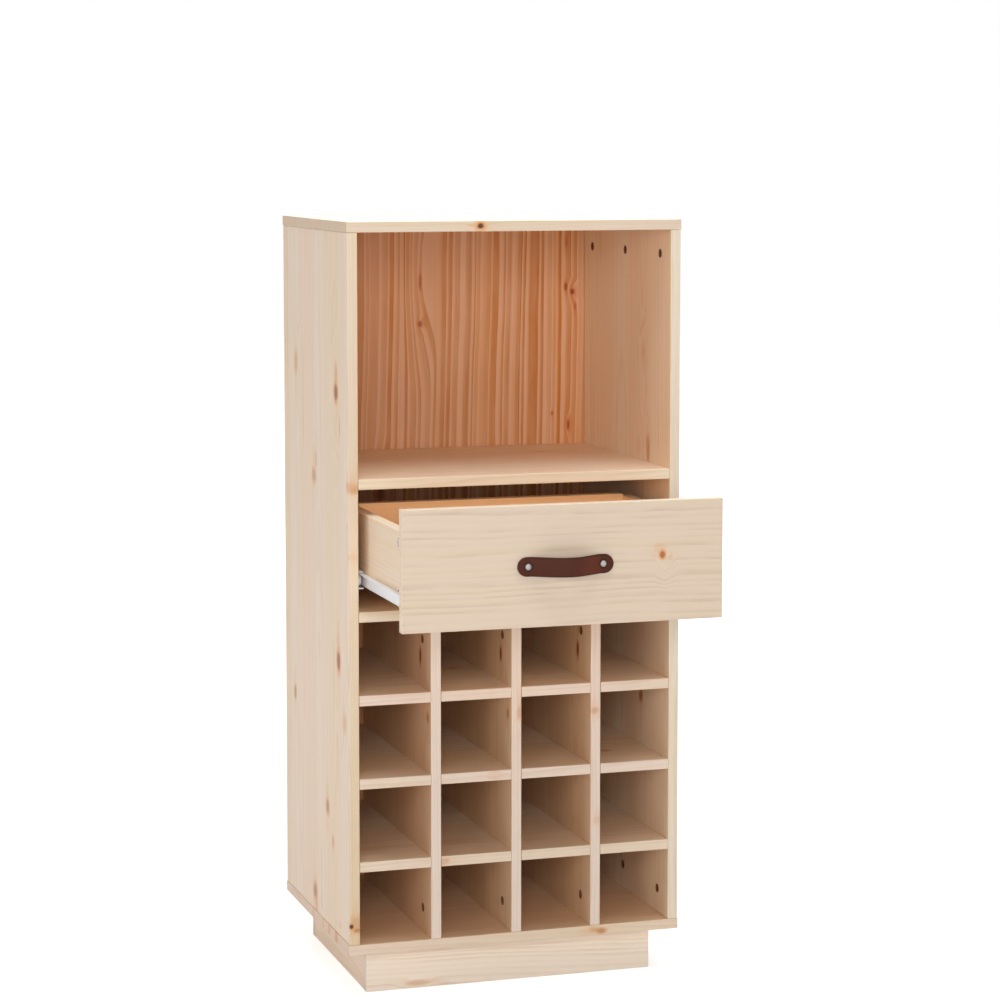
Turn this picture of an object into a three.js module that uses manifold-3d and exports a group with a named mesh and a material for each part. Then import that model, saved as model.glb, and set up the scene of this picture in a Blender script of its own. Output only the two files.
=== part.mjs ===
// Wine cabinet in solid pine: an open niche above, a drawer on roller runners and
// a rack of bottle cells below, on a set-back plinth. Millimetres, +Z up, front
// towards -Y. The drawer stands pulled out by its leather strap.

import * as THREE from "three";
import { mergeVertices } from "three/addons/utils/BufferGeometryUtils.js";
import Module from "manifold-3d";

const wasm = await Module();
wasm.setup();

// Overall sizes

const cabinetWidth = 450;
const cabinetDepth = 350;
const cabinetHeight = 1000;

// Boards and their joints

const boardThickness = 13.5;
const endPanelOverhang = 0.75; // top and bottom panel past each side panel
const easedEdge = 1; // radius along the long edges of every board
const easedEdgeSteps = 2;
const seatGap = 0.3; // clearance in each closed joint
const cutOverrun = 2; // how far a cutter passes the face it opens
const backThickness = 5;
const backLap = 6.5; // back panel over the rebate of each side panel

// Plinth, rack, drawer bay; the niche takes the height that is left

const plinthHeight = 58.5;
const plinthInset = 30;
const rackRows = 4;
const rackColumns = 4;
const cellHeight = 94.5;
const drawerBayHeight = 156.5;

// Cam locks in the carcase and the rack

const camDiameter = 11.4;
const camThickness = 7.5;
const camSink = 2.6; // face of the lock below the face of the board
const camFromJoint = 32;
const camFromEdge = 40;
const camSlotWidth = 1.6;
const camSlotLength = 7;
const camSlotDepth = 1.5;

// Drawer box

const drawerPullOut = 195; // front of the drawer from the front of the cabinet
const drawerLength = 300;
const drawerBoard = 15;
const frontSideGap = 3.25;
const frontBottomGap = 3.5;
const frontTopGap = 2;
const sideLift = 27.5; // bottom edge of the drawer sides above the front's
const sideDrop = 31.5; // top edge of the drawer sides below the front's
const drawerBackRise = 3; // top edge of the back above the sides
const runnerSpace = 12.5; // drawer side to side panel
const drawerBottomThickness = 4;
const drawerBottomLift = 8; // above the bottom edges of the sides
const grooveDepth = 5;
const drawerCamSink = 0.4;
const drawerCamFromFront = 34;
const drawerCamFromEdge = 14;
const drawerCamDiameter = 10;
const drawerCamThickness = 6;

// Roller runners

const runnerSheet = 1.2;
const runnerBend = 1.5; // on the middle of the sheet
const runnerBendSteps = 3;
const runnerLength = 300;
const runnerSetback = 2; // behind the closed drawer's front
const channelHeight = 22.5;
const channelWidth = 10.25;
const angleHeight = 18.5;
const angleFoot = 10; // under the drawer side
const angleHead = 8; // over the roller of the cabinet runner
const channelFootBelowAngle = 2;
const rollerDiameter = 16;
const rollerWidth = 6.5;
const rollerBore = 5;
const rollerEased = 0.8;
const rollerFromEnd = 11;
const axleDiameter = 4.6;
const rivetHeadDiameter = 8;
const rivetHeadThickness = 0.8;

// Strap handle

const strapLength = 124;
const strapHeight = 24;
const strapThickness = 3.2;
const strapBow = 20.5;
const strapFlatEnd = 24;
const strapSteps = 9;
const handleScrewSpacing = 97;
const screwHeadDiameter = 8;
const screwHeadHeight = 2.4;
const screwShankDiameter = 4;
const screwShankLength = 14;

// Facets of round shapes

const roundSteps = 24;
const smallRoundSteps = 16;
const domeSteps = 3;

// Levels and planes that follow from the sizes above

const innerHalfWidth = cabinetWidth / 2 - endPanelOverhang - boardThickness;
const rackFloor = plinthHeight + boardThickness;
const rowPitch = cellHeight + boardThickness;
const rackCeiling = rackFloor + rackRows * rowPitch - boardThickness;
const bayFloor = rackCeiling + boardThickness;
const bayCeiling = bayFloor + drawerBayHeight;
const nicheFloor = bayCeiling + boardThickness;
const nicheCeiling = cabinetHeight - boardThickness;
const shelfDepth = cabinetDepth - backThickness - seatGap;
const clearWidth = 2 * innerHalfWidth;
const cellWidth = (clearWidth - (rackColumns - 1) * boardThickness) / rackColumns;
const columnPitch = cellWidth + boardThickness;
const camSeatDepth = camSink + camThickness + seatGap;
const drawerCamSeatDepth = drawerCamSink + drawerCamThickness + seatGap;

// Finishes

const pine = { color: 0xe4cfb2, roughness: 0.62, metalness: 0 };
const pineVeneer = { color: 0xc99566, roughness: 0.62, metalness: 0 };
const enamel = { color: 0xe8e8ea, roughness: 0.35, metalness: 0.1 };
const nylon = { color: 0xe6e2e4, roughness: 0.45, metalness: 0 };
const darkZinc = { color: 0x3b2d24, roughness: 0.5, metalness: 0.6 };
const nickel = { color: 0xd2d2d2, roughness: 0.28, metalness: 0.9 };
const leather = { color: 0x5a3026, roughness: 0.55, metalness: 0 };

const xAxis = new THREE.Vector3(1, 0, 0);
const yAxis = new THREE.Vector3(0, 1, 0);
const zAxis = new THREE.Vector3(0, 0, 1);

// How a section drawn in X and Y and extruded along Z is turned to run along each axis.
const turns = {
  x: new THREE.Matrix4().makeBasis(yAxis, zAxis, xAxis),
  y: new THREE.Matrix4().makeBasis(zAxis, xAxis, yAxis),
  z: new THREE.Matrix4().makeBasis(xAxis, yAxis, zAxis),
};
const sectionAxes = { x: ["y", "z"], y: ["z", "x"], z: ["x", "y"] };

// The space between two corners.
function space(x, y, z) {
  const low = new THREE.Vector3(Math.min(...x), Math.min(...y), Math.min(...z));
  const high = new THREE.Vector3(Math.max(...x), Math.max(...y), Math.max(...z));
  return {
    size: high.clone().sub(low),
    centre: high.clone().add(low).multiplyScalar(1 / 2),
  };
}

// Solids for cutting and joining

function solidOf(geometry) {
  const bare = geometry.clone();
  bare.deleteAttribute("normal");
  bare.deleteAttribute("uv");
  const merged = mergeVertices(bare);
  return new wasm.Manifold(
    new wasm.Mesh({
      numProp: 3,
      vertProperties: merged.attributes.position.array,
      triVerts: new Uint32Array(merged.index.array),
    }),
  );
}

function geometryOf(solid) {
  const { vertProperties, triVerts } = solid.getMesh();
  const geometry = new THREE.BufferGeometry();
  geometry.setAttribute("position", new THREE.BufferAttribute(vertProperties, 3));
  geometry.setIndex(new THREE.BufferAttribute(triVerts, 1));
  geometry.computeVertexNormals();
  return geometry;
}

function cut(geometry, cutters) {
  const body = cutters.reduce((left, cutter) => left.subtract(solidOf(cutter)), solidOf(geometry));
  return geometryOf(body);
}

function join(geometries) {
  return geometryOf(geometries.map(solidOf).reduce((body, next) => body.add(next)));
}

// Basic shapes, each already in its place in the cabinet

function boxIn({ size, centre }) {
  return new THREE.BoxGeometry(...size).translate(...centre);
}

function rod(axis, centre, diameter, length, steps = roundSteps) {
  const along = new THREE.CylinderGeometry(diameter / 2, diameter / 2, length, steps);
  along.rotateX(Math.PI / 2);
  return along.applyMatrix4(turns[axis]).translate(...centre);
}

function easedRectangle(width, height, radius) {
  const [right, top] = [width / 2 - radius, height / 2 - radius];
  const outline = new THREE.Shape();
  outline.absarc(right, top, radius, 0, Math.PI / 2);
  outline.absarc(-right, top, radius, Math.PI / 2, Math.PI);
  outline.absarc(-right, -top, radius, Math.PI, (3 * Math.PI) / 2);
  outline.absarc(right, -top, radius, (3 * Math.PI) / 2, 2 * Math.PI);
  return outline;
}

function extrusion(outline, axis, length, steps = easedEdgeSteps) {
  const options = { depth: length, bevelEnabled: false, curveSegments: steps };
  const geometry = new THREE.ExtrudeGeometry(outline, options);
  return geometry.translate(0, 0, -length / 2).applyMatrix4(turns[axis]);
}

// A planed board that fills a space, with its long edges eased along the grain.
function plank({ size, centre }, grain) {
  const [across, through] = sectionAxes[grain].map((axis) => size[axis]);
  const section = easedRectangle(across, through, easedEdge);
  return extrusion(section, grain, size[grain]).translate(...centre);
}

// The outline of a strip of even thickness along a smooth path of lines and curves.
function stripOutline(path, thickness, steps) {
  const [left, right] = [[], []];
  path.curves.forEach((curve, index) => {
    const count = curve.isLineCurve ? 1 : steps;
    for (let i = index ? 1 : 0; i <= count; i += 1) {
      const point = curve.getPoint(i / count);
      const tangent = curve.getTangent(i / count);
      const offset = new THREE.Vector2(-tangent.y, tangent.x).multiplyScalar(thickness / 2);
      left.push(point.clone().add(offset));
      right.unshift(point.clone().sub(offset));
    }
  });
  return new THREE.Shape([...left, ...right]);
}

// A path with a round bend at each inner corner.
function bentPath(corners, radius) {
  const path = new THREE.Path();
  path.moveTo(...corners[0]);
  corners.slice(1, -1).forEach((corner, index) => {
    const here = new THREE.Vector2(...corner);
    const before = new THREE.Vector2(...corners[index]).sub(here).setLength(radius);
    const after = new THREE.Vector2(...corners[index + 2]).sub(here).setLength(radius);
    const centre = here.clone().add(before).add(after);
    const clockwise = before.cross(after) > 0;
    path.lineTo(...here.clone().add(before));
    const from = after.clone().negate().angle();
    const to = before.clone().negate().angle();
    path.absarc(centre.x, centre.y, radius, from, to, clockwise);
  });
  path.lineTo(...corners.at(-1));
  return path;
}

// A named piece: its geometry is given in the cabinet's place, and the mesh carries
// it about its own centre.
function piece(name, geometry, finish) {
  geometry.computeBoundingBox();
  const centre = geometry.boundingBox.getCenter(new THREE.Vector3());
  geometry.translate(...centre.clone().negate());
  const mesh = new THREE.Mesh(geometry, new THREE.MeshStandardMaterial(finish));
  mesh.name = name;
  mesh.position.copy(centre);
  return mesh;
}

const sides = { left: -1, right: 1 };

// Places of the repeated pieces

const camRows = [camFromEdge, cabinetDepth / 2, cabinetDepth - camFromEdge];
const sideCamLevels = { upper: nicheCeiling - camFromJoint, lower: rackFloor + camFromJoint };
const dividerCamLevels = { upper: rackCeiling - camFromJoint, lower: rackFloor + camFromJoint };
const shelfCamRows = { front: camFromEdge, rear: cabinetDepth - camFromEdge };

const dividerPlaces = ["left", "centre", "right"].slice(0, rackColumns - 1).map((name, index) => ({
  name,
  x: -innerHalfWidth + (index + 1) * columnPitch - boardThickness / 2,
}));

const shelfPlaces = ["lower", "middle", "upper"].slice(0, rackRows - 1).map((name, index) => ({
  name,
  z: rackFloor + (index + 1) * rowPitch - boardThickness / 2,
}));

// Cam locks: a round lock in a blind bore, its face crossed by two slots.
// inward is the direction from the open face into the board.

function camSeat(axis, face, inward, diameter, depth) {
  const middle = face.clone().addScaledVector(inward, (depth - cutOverrun) / 2);
  return rod(axis, middle, diameter + 2 * seatGap, depth + cutOverrun);
}

function camLock(name, axis, face, inward, diameter, thickness, sink, finish) {
  const top = face.clone().addScaledVector(inward, sink);
  const middle = top.clone().addScaledVector(inward, thickness / 2);
  const slotDepth = camSlotDepth + cutOverrun;
  const slotMiddle = top.clone().addScaledVector(inward, (camSlotDepth - cutOverrun) / 2);
  const slots = sectionAxes[axis].map((long, index) => {
    const size = new THREE.Vector3();
    size[axis] = slotDepth;
    size[long] = camSlotLength;
    size[sectionAxes[axis][1 - index]] = camSlotWidth;
    return boxIn({ size, centre: slotMiddle });
  });
  return piece(name, cut(rod(axis, middle, diameter, thickness), slots), finish);
}

// Carcase

function sidePanel(side, name) {
  const outer = side * (innerHalfWidth + boardThickness);
  const inner = side * innerHalfWidth;
  const heights = [rackFloor + seatGap, nicheCeiling - seatGap];
  const panel = plank(space([inner, outer], [0, cabinetDepth], heights), "z");
  const rebateX = [inner - side * cutOverrun, side * (innerHalfWidth + backLap)];
  const rebateY = [cabinetDepth - backThickness - seatGap, cabinetDepth + cutOverrun];
  const rebateZ = [heights[0] - cutOverrun, heights[1] + cutOverrun];
  const inward = xAxis.clone().multiplyScalar(side);
  const seats = Object.values(sideCamLevels).flatMap((z) =>
    camRows.map((y) =>
      camSeat("x", new THREE.Vector3(inner, y, z), inward, camDiameter, camSeatDepth),
    ),
  );
  const cutters = [boxIn(space(rebateX, rebateY, rebateZ)), ...seats];
  return piece(`${name}_side_panel`, cut(panel, cutters), pine);
}

function sidePanelCams(side, name) {
  const inward = xAxis.clone().multiplyScalar(side);
  const rowNames = ["front", "middle", "rear"];
  return Object.entries(sideCamLevels).flatMap(([level, z]) =>
    camRows.map((y, index) => {
      const face = new THREE.Vector3(side * innerHalfWidth, y, z);
      const camName = `${name}_panel_cam_${level}_${rowNames[index]}`;
      return camLock(camName, "x", face, inward, camDiameter, camThickness, camSink, darkZinc);
    }),
  );
}

function endPanel(name, floor) {
  const width = [-cabinetWidth / 2, cabinetWidth / 2];
  const room = space(width, [0, cabinetDepth], [floor, floor + boardThickness]);
  return piece(name, plank(room, "x"), pine);
}

function backPanel() {
  const halfWidth = innerHalfWidth + backLap - seatGap;
  const depths = [cabinetDepth - backThickness, cabinetDepth];
  const heights = [rackFloor + seatGap, nicheCeiling - seatGap];
  const room = space([-halfWidth, halfWidth], depths, heights);
  return piece("back_panel", boxIn(room), pineVeneer);
}

function shelfSpace(floor) {
  const halfWidth = innerHalfWidth - seatGap;
  return space([-halfWidth, halfWidth], [0, shelfDepth], [floor, floor + boardThickness]);
}

const shelfCamPlaces = Object.entries(sides).flatMap(([sideName, side]) =>
  Object.entries(shelfCamRows).map(([rowName, y]) => ({
    name: `niche_shelf_cam_${sideName}_${rowName}`,
    face: new THREE.Vector3(side * (innerHalfWidth - camFromJoint), y, bayCeiling),
  })),
);

function nicheShelf() {
  const seats = shelfCamPlaces.map(({ face }) =>
    camSeat("z", face, zAxis, camDiameter, camSeatDepth),
  );
  return piece("niche_shelf", cut(plank(shelfSpace(bayCeiling), "x"), seats), pine);
}

function nicheShelfCams() {
  return shelfCamPlaces.map(({ name, face }) =>
    camLock(name, "z", face, zAxis, camDiameter, camThickness, camSink, darkZinc),
  );
}

// Rack: shelves slotted from the front, dividers from the back, halved into each other

const halvingDepth = shelfDepth / 2;
const slotWidth = boardThickness + 2 * seatGap;

function rackShelf({ name, z }) {
  const slots = dividerPlaces.map(({ x }) =>
    boxIn(
      space(
        [x - slotWidth / 2, x + slotWidth / 2],
        [-cutOverrun, halvingDepth + seatGap / 2],
        [z - boardThickness, z + boardThickness],
      ),
    ),
  );
  const blank = plank(shelfSpace(z - boardThickness / 2), "x");
  return piece(`rack_shelf_${name}`, cut(blank, slots), pine);
}

function rackDivider({ name, x }) {
  const heights = [rackFloor + seatGap, rackCeiling - seatGap];
  const widths = [x - boardThickness / 2, x + boardThickness / 2];
  const blank = plank(space(widths, [0, shelfDepth], heights), "z");
  const slots = shelfPlaces.map(({ z }) =>
    boxIn(
      space(
        [x - boardThickness, x + boardThickness],
        [halvingDepth - seatGap / 2, shelfDepth + cutOverrun],
        [z - slotWidth / 2, z + slotWidth / 2],
      ),
    ),
  );
  const seats = Object.values(dividerCamLevels).map((z) =>
    camSeat("x", new THREE.Vector3(widths[0], camFromEdge, z), xAxis, camDiameter, camSeatDepth),
  );
  return piece(`rack_divider_${name}`, cut(blank, [...slots, ...seats]), pine);
}

function dividerCams({ name, x }) {
  return Object.entries(dividerCamLevels).map(([level, z]) => {
    const face = new THREE.Vector3(x - boardThickness / 2, camFromEdge, z);
    const camName = `divider_cam_${name}_${level}`;
    return camLock(camName, "x", face, xAxis, camDiameter, camThickness, camSink, darkZinc);
  });
}

// Plinth: front and back boards run the full width, the side boards between them

function plinth() {
  const halfWidth = cabinetWidth / 2 - plinthInset;
  const heights = [0, plinthHeight - seatGap];
  const [front, back] = [plinthInset, cabinetDepth - plinthInset];
  const boards = { front: [front, front + boardThickness], back: [back - boardThickness, back] };
  const long = Object.entries(boards).map(([name, depths]) => {
    const room = space([-halfWidth, halfWidth], depths, heights);
    return piece(`plinth_${name}`, plank(room, "x"), pine);
  });
  const between = [boards.front[1] + seatGap, boards.back[0] - seatGap];
  const short = Object.entries(sides).map(([name, side]) => {
    const widths = [side * halfWidth, side * (halfWidth - boardThickness)];
    return piece(`plinth_${name}`, plank(space(widths, between, heights), "y"), pine);
  });
  return [...long, ...short];
}

// Drawer: the levels and planes below are those of the pulled-out drawer

const frontHalfWidth = innerHalfWidth - frontSideGap;
const frontBottom = bayFloor + frontBottomGap;
const frontTop = bayCeiling - frontTopGap;
const frontBack = -drawerPullOut + boardThickness;
const boxFront = frontBack + seatGap;
const boxBack = frontBack + drawerLength;
const sideBottom = frontBottom + sideLift;
const sideTop = frontTop - sideDrop;
const boxHalfWidth = innerHalfWidth - runnerSpace;
const insideHalfWidth = boxHalfWidth - drawerBoard;
const bottomLevels = [sideBottom + drawerBottomLift, sideBottom + drawerBottomLift + drawerBottomThickness];
const grooveLevels = [bottomLevels[0] - seatGap, bottomLevels[1] + seatGap];
const handleLevel = (frontBottom + frontTop) / 2;
const drawerCamLevels = {
  upper: sideTop - drawerCamFromEdge,
  lower: sideBottom + drawerCamFromEdge,
};

function drawerFront() {
  const room = space([-frontHalfWidth, frontHalfWidth], [-drawerPullOut, frontBack], [frontBottom, frontTop]);
  const groove = boxIn(
    space([-boxHalfWidth, boxHalfWidth], [frontBack - grooveDepth, frontBack + cutOverrun], grooveLevels),
  );
  const pilots = handleScrewPlaces.map((x) => {
    const depth = screwShankLength - strapThickness + seatGap;
    const middle = new THREE.Vector3(x, -drawerPullOut + (depth - cutOverrun) / 2, handleLevel);
    return rod("y", middle, screwShankDiameter + 2 * seatGap, depth + cutOverrun, smallRoundSteps);
  });
  return piece("drawer_front", cut(plank(room, "x"), [groove, ...pilots]), pine);
}

function drawerSide(side, name) {
  const outer = side * boxHalfWidth;
  const inner = side * insideHalfWidth;
  const blank = plank(space([inner, outer], [boxFront, boxBack], [sideBottom, sideTop]), "y");
  const grooveX = [inner - side * cutOverrun, inner + side * grooveDepth];
  const grooveY = [boxFront - cutOverrun, boxBack + cutOverrun];
  const inward = xAxis.clone().multiplyScalar(-side);
  const seats = Object.values(drawerCamLevels).map((z) => {
    const face = new THREE.Vector3(outer, frontBack + drawerCamFromFront, z);
    return camSeat("x", face, inward, drawerCamDiameter, drawerCamSeatDepth);
  });
  const cutters = [boxIn(space(grooveX, grooveY, grooveLevels)), ...seats];
  return piece(`drawer_${name}_side`, cut(blank, cutters), pine);
}

function drawerCams(side, name) {
  const inward = xAxis.clone().multiplyScalar(-side);
  return Object.entries(drawerCamLevels).map(([level, z]) => {
    const face = new THREE.Vector3(side * boxHalfWidth, frontBack + drawerCamFromFront, z);
    const [wide, thick] = [drawerCamDiameter, drawerCamThickness];
    return camLock(`drawer_cam_${name}_${level}`, "x", face, inward, wide, thick, drawerCamSink, nylon);
  });
}

function drawerBack() {
  const halfWidth = insideHalfWidth - seatGap;
  const levels = [sideBottom, sideTop + drawerBackRise];
  const room = space([-halfWidth, halfWidth], [boxBack - drawerBoard, boxBack], levels);
  const groove = boxIn(
    space(
      [-insideHalfWidth - cutOverrun, insideHalfWidth + cutOverrun],
      [boxBack - drawerBoard - cutOverrun, boxBack - drawerBoard + grooveDepth],
      grooveLevels,
    ),
  );
  return piece("drawer_back", cut(plank(room, "x"), [groove]), pine);
}

function drawerBottom() {
  const halfWidth = insideHalfWidth + grooveDepth - seatGap;
  const depths = [frontBack - grooveDepth + seatGap, boxBack - drawerBoard + grooveDepth - seatGap];
  return piece("drawer_bottom", boxIn(space([-halfWidth, halfWidth], depths, bottomLevels)), pineVeneer);
}

// Strap handle: flat ends on the drawer front, bowed between them

const handleScrewPlaces = [-handleScrewSpacing / 2, handleScrewSpacing / 2];
const strapBack = drawerPullOut + seatGap;

function handleStrap() {
  const [end, flat] = [strapLength / 2, strapLength / 2 - strapFlatEnd];
  const [near, far] = [strapBack + strapThickness / 2, strapBack + strapThickness / 2 + strapBow];
  const path = new THREE.Path();
  path.moveTo(-end, -near);
  path.lineTo(-flat, -near);
  path.bezierCurveTo(-flat / 2, -near, -flat / 2, -far, 0, -far);
  path.bezierCurveTo(flat / 2, -far, flat / 2, -near, flat, -near);
  path.lineTo(end, -near);
  const band = extrusion(stripOutline(path, strapThickness, strapSteps), "z", strapHeight);
  band.translate(0, 0, handleLevel);

  const face = easedRectangle(strapHeight, strapLength, strapHeight / 2);
  const reach = strapThickness + strapBow + 2 * cutOverrun;
  const roundEnds = extrusion(face, "y", reach, smallRoundSteps / 2);
  roundEnds.translate(0, -strapBack - reach / 2 + cutOverrun, handleLevel);

  const holes = handleScrewPlaces.map((x) => {
    const middle = new THREE.Vector3(x, -near, handleLevel);
    const length = strapThickness + 2 * cutOverrun;
    return rod("y", middle, screwShankDiameter + 2 * seatGap, length, smallRoundSteps);
  });
  const blank = geometryOf(solidOf(band).intersect(solidOf(roundEnds)));
  return piece("handle_strap", cut(blank, holes), leather);
}

function handleScrew(name, x) {
  const shank = screwShankDiameter / 2;
  const head = screwHeadDiameter / 2;
  const dome = Array.from({ length: domeSteps + 1 }, (_, i) => {
    const angle = (i * Math.PI) / 2 / domeSteps;
    return new THREE.Vector2(head * Math.cos(angle), screwHeadHeight * Math.sin(angle));
  });
  dome[domeSteps].x = 0;
  const profile = [
    new THREE.Vector2(0, -screwShankLength),
    new THREE.Vector2(shank, -screwShankLength),
    new THREE.Vector2(shank, 0),
    ...dome,
  ];
  const screw = new THREE.LatheGeometry(profile, smallRoundSteps);
  screw.rotateX(Math.PI);
  screw.translate(x, -strapBack - strapThickness - seatGap, handleLevel);
  return piece(name, screw, nickel);
}

// Runners: a channel on the side panel and an angle under the drawer side, each with
// a roller on a riveted axle. The channel's roller carries the angle's head, and the
// angle's roller runs on the channel's foot.

const angleBottom = sideBottom - seatGap - runnerSheet;
const angleTop = angleBottom + angleHeight;
const channelBottom = angleBottom - channelFootBelowAngle;
const channelTop = channelBottom + channelHeight;
const channelFront = boardThickness + runnerSetback;
const channelWeb = innerHalfWidth - seatGap; // outer face of the web
const angleWeb = boxHalfWidth + seatGap; // inner face of the web
const channelRollerLevel = angleTop - runnerSheet - seatGap - rollerDiameter / 2;
const angleRollerLevel = channelBottom + runnerSheet + seatGap + rollerDiameter / 2;
const channelRollerPlace = channelFront + rollerFromEnd;
const angleRollerPlace = boxBack - rollerFromEnd;

// A riveted axle that stands off a web towards inward (1 or -1 along X).
function axle(webX, inward, y, z) {
  const reach = rollerWidth + 2 * seatGap;
  const pinMiddle = new THREE.Vector3(webX + (inward * (reach - runnerSheet / 2)) / 2, y, z);
  const pin = rod("x", pinMiddle, axleDiameter, reach + runnerSheet / 2, smallRoundSteps);
  const headMiddle = new THREE.Vector3(webX + inward * (reach + rivetHeadThickness / 2), y, z);
  const head = rod("x", headMiddle, rivetHeadDiameter, rivetHeadThickness, smallRoundSteps);
  return [pin, head];
}

function roller(name, webX, inward, y, z) {
  const [bore, tread, half] = [rollerBore / 2, rollerDiameter / 2, rollerWidth / 2];
  const profile = [
    [bore, -half],
    [tread - rollerEased, -half],
    [tread, -half + rollerEased],
    [tread, half - rollerEased],
    [tread - rollerEased, half],
    [bore, half],
    [bore, -half],
  ].map(([radius, height]) => new THREE.Vector2(radius, height));
  const wheel = new THREE.LatheGeometry(profile, roundSteps).rotateX(Math.PI / 2);
  wheel.applyMatrix4(turns.x);
  wheel.translate(webX + inward * (seatGap + half), y, z);
  return piece(name, wheel, nylon);
}

function runnerSection(side, corners) {
  const path = bentPath(corners.map(([x, z]) => [side * x, z]), runnerBend);
  return stripOutline(path, runnerSheet, runnerBendSteps);
}

// A section drawn in X and Z, extruded along Y between two planes.
function alongDepth(section, front, back) {
  const swapped = new THREE.Shape(section.getPoints().map(({ x, y }) => new THREE.Vector2(y, x)));
  return extrusion(swapped, "y", back - front).translate(0, (front + back) / 2, 0);
}

function cabinetRunner(side, name) {
  const half = runnerSheet / 2;
  const lip = channelWeb - channelWidth;
  const section = runnerSection(side, [
    [lip, channelBottom + half],
    [channelWeb - half, channelBottom + half],
    [channelWeb - half, channelTop - half],
    [lip, channelTop - half],
  ]);
  const channel = alongDepth(section, channelFront, channelFront + runnerLength);
  const webX = side * (channelWeb - runnerSheet);
  const place = [channelRollerPlace, channelRollerLevel];
  return [
    piece(`${name}_cabinet_runner`, join([channel, ...axle(webX, -side, ...place)]), enamel),
    roller(`${name}_cabinet_roller`, webX, -side, ...place),
  ];
}

function drawerRunner(side, name) {
  const half = runnerSheet / 2;
  const section = runnerSection(side, [
    [angleWeb - angleFoot, angleBottom + half],
    [angleWeb + half, angleBottom + half],
    [angleWeb + half, angleTop - half],
    [angleWeb + angleHead, angleTop - half],
  ]);
  const angle = alongDepth(section, boxFront, boxBack);
  const webX = side * (angleWeb + runnerSheet);
  const place = [angleRollerPlace, angleRollerLevel];
  return [
    piece(`${name}_drawer_runner`, join([angle, ...axle(webX, side, ...place)]), enamel),
    roller(`${name}_drawer_roller`, webX, side, ...place),
  ];
}

// Assembly: the cabinet's own group has its floor plane at zero and its front at
// y = 0; the outer group's origin lies under the middle of the whole, handle to back.

const handleFront = -(strapBack + strapThickness + strapBow);
const middle = (cabinetDepth + handleFront) / 2;

const drawer = new THREE.Group();
drawer.add(drawerFront(), drawerBack(), drawerBottom(), handleStrap());
["left", "right"].forEach((name, index) => {
  drawer.add(handleScrew(`handle_screw_${name}`, handleScrewPlaces[index]));
});

const carcase = new THREE.Group();
carcase.add(endPanel("bottom_panel", plinthHeight), endPanel("top_panel", nicheCeiling));
carcase.add(backPanel(), nicheShelf(), ...nicheShelfCams(), ...plinth());
carcase.add(piece("rack_top_board", plank(shelfSpace(rackCeiling), "x"), pine));
carcase.add(...shelfPlaces.map(rackShelf));
carcase.add(...dividerPlaces.map(rackDivider), ...dividerPlaces.flatMap(dividerCams));

Object.entries(sides).forEach(([name, side]) => {
  carcase.add(sidePanel(side, name), ...sidePanelCams(side, name), ...cabinetRunner(side, name));
  drawer.add(drawerSide(side, name), ...drawerCams(side, name), ...drawerRunner(side, name));
});

const cabinet = new THREE.Group();
cabinet.add(carcase, drawer);
cabinet.position.y = -middle;

const wineCabinet = new THREE.Group();
wineCabinet.add(cabinet);

export default wineCabinet;
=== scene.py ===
"""A pine wine cabinet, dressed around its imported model.

Boards of edge-glued pine, a halved bottle rack, a drawer on enamelled roller runners and a
leather strap handle. Lengths are in metres, and the figure of the wood is in millimetres.
"""

from __future__ import annotations

import logging
import math
from dataclasses import dataclass, field, replace
from enum import Enum

import bmesh
import bpy
from mathutils import Matrix, Vector


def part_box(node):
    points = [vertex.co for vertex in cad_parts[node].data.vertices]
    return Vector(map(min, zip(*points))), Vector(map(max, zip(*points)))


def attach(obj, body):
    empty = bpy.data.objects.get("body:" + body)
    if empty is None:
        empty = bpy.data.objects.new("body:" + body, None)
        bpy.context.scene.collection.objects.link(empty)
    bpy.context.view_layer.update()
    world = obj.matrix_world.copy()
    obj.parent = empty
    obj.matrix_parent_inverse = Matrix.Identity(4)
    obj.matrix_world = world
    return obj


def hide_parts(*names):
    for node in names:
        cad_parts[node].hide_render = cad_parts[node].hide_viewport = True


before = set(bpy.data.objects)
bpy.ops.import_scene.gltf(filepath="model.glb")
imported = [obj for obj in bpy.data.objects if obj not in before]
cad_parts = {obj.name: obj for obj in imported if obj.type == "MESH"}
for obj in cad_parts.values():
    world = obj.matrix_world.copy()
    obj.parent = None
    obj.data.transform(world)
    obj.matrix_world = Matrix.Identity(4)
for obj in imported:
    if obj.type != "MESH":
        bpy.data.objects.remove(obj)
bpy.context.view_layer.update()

MM = 0.001
SEAT_GAP = 0.3 * MM
OVERRUN = 2 * MM
WELD = 0.01 * MM
ROUND_STEPS = 48

log = logging.getLogger("wine_cabinet")

Colour = tuple[float, float, float]


class Axis(Enum):
    """A direction of the cabinet's own frame."""

    X = 0
    Y = 1
    Z = 2

    @property
    def vector(self) -> Vector:
        """The unit vector along the axis."""
        return Vector([float(i == self.value) for i in range(3)])

    @staticmethod
    def thinnest(low: Vector, high: Vector) -> Axis:
        """The axis along which a box is thinnest."""
        return min(Axis, key=lambda axis: high[axis.value] - low[axis.value])

    def matrix(self, place: Vector) -> Matrix:
        """Moves a piece that stands along Z to a place and turns it along this axis."""
        turn = Axis.Z.vector.rotation_difference(self.vector).to_matrix().to_4x4()
        return Matrix.Translation(place) @ turn


class Body(Enum):
    """What moves as one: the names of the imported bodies."""

    CABINET = "cabinet"
    DRAWER = "drawer"
    LEFT_CABINET_ROLLER = "left_cabinet_roller"
    RIGHT_CABINET_ROLLER = "right_cabinet_roller"
    LEFT_DRAWER_ROLLER = "left_drawer_roller"
    RIGHT_DRAWER_ROLLER = "right_drawer_roller"


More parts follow.
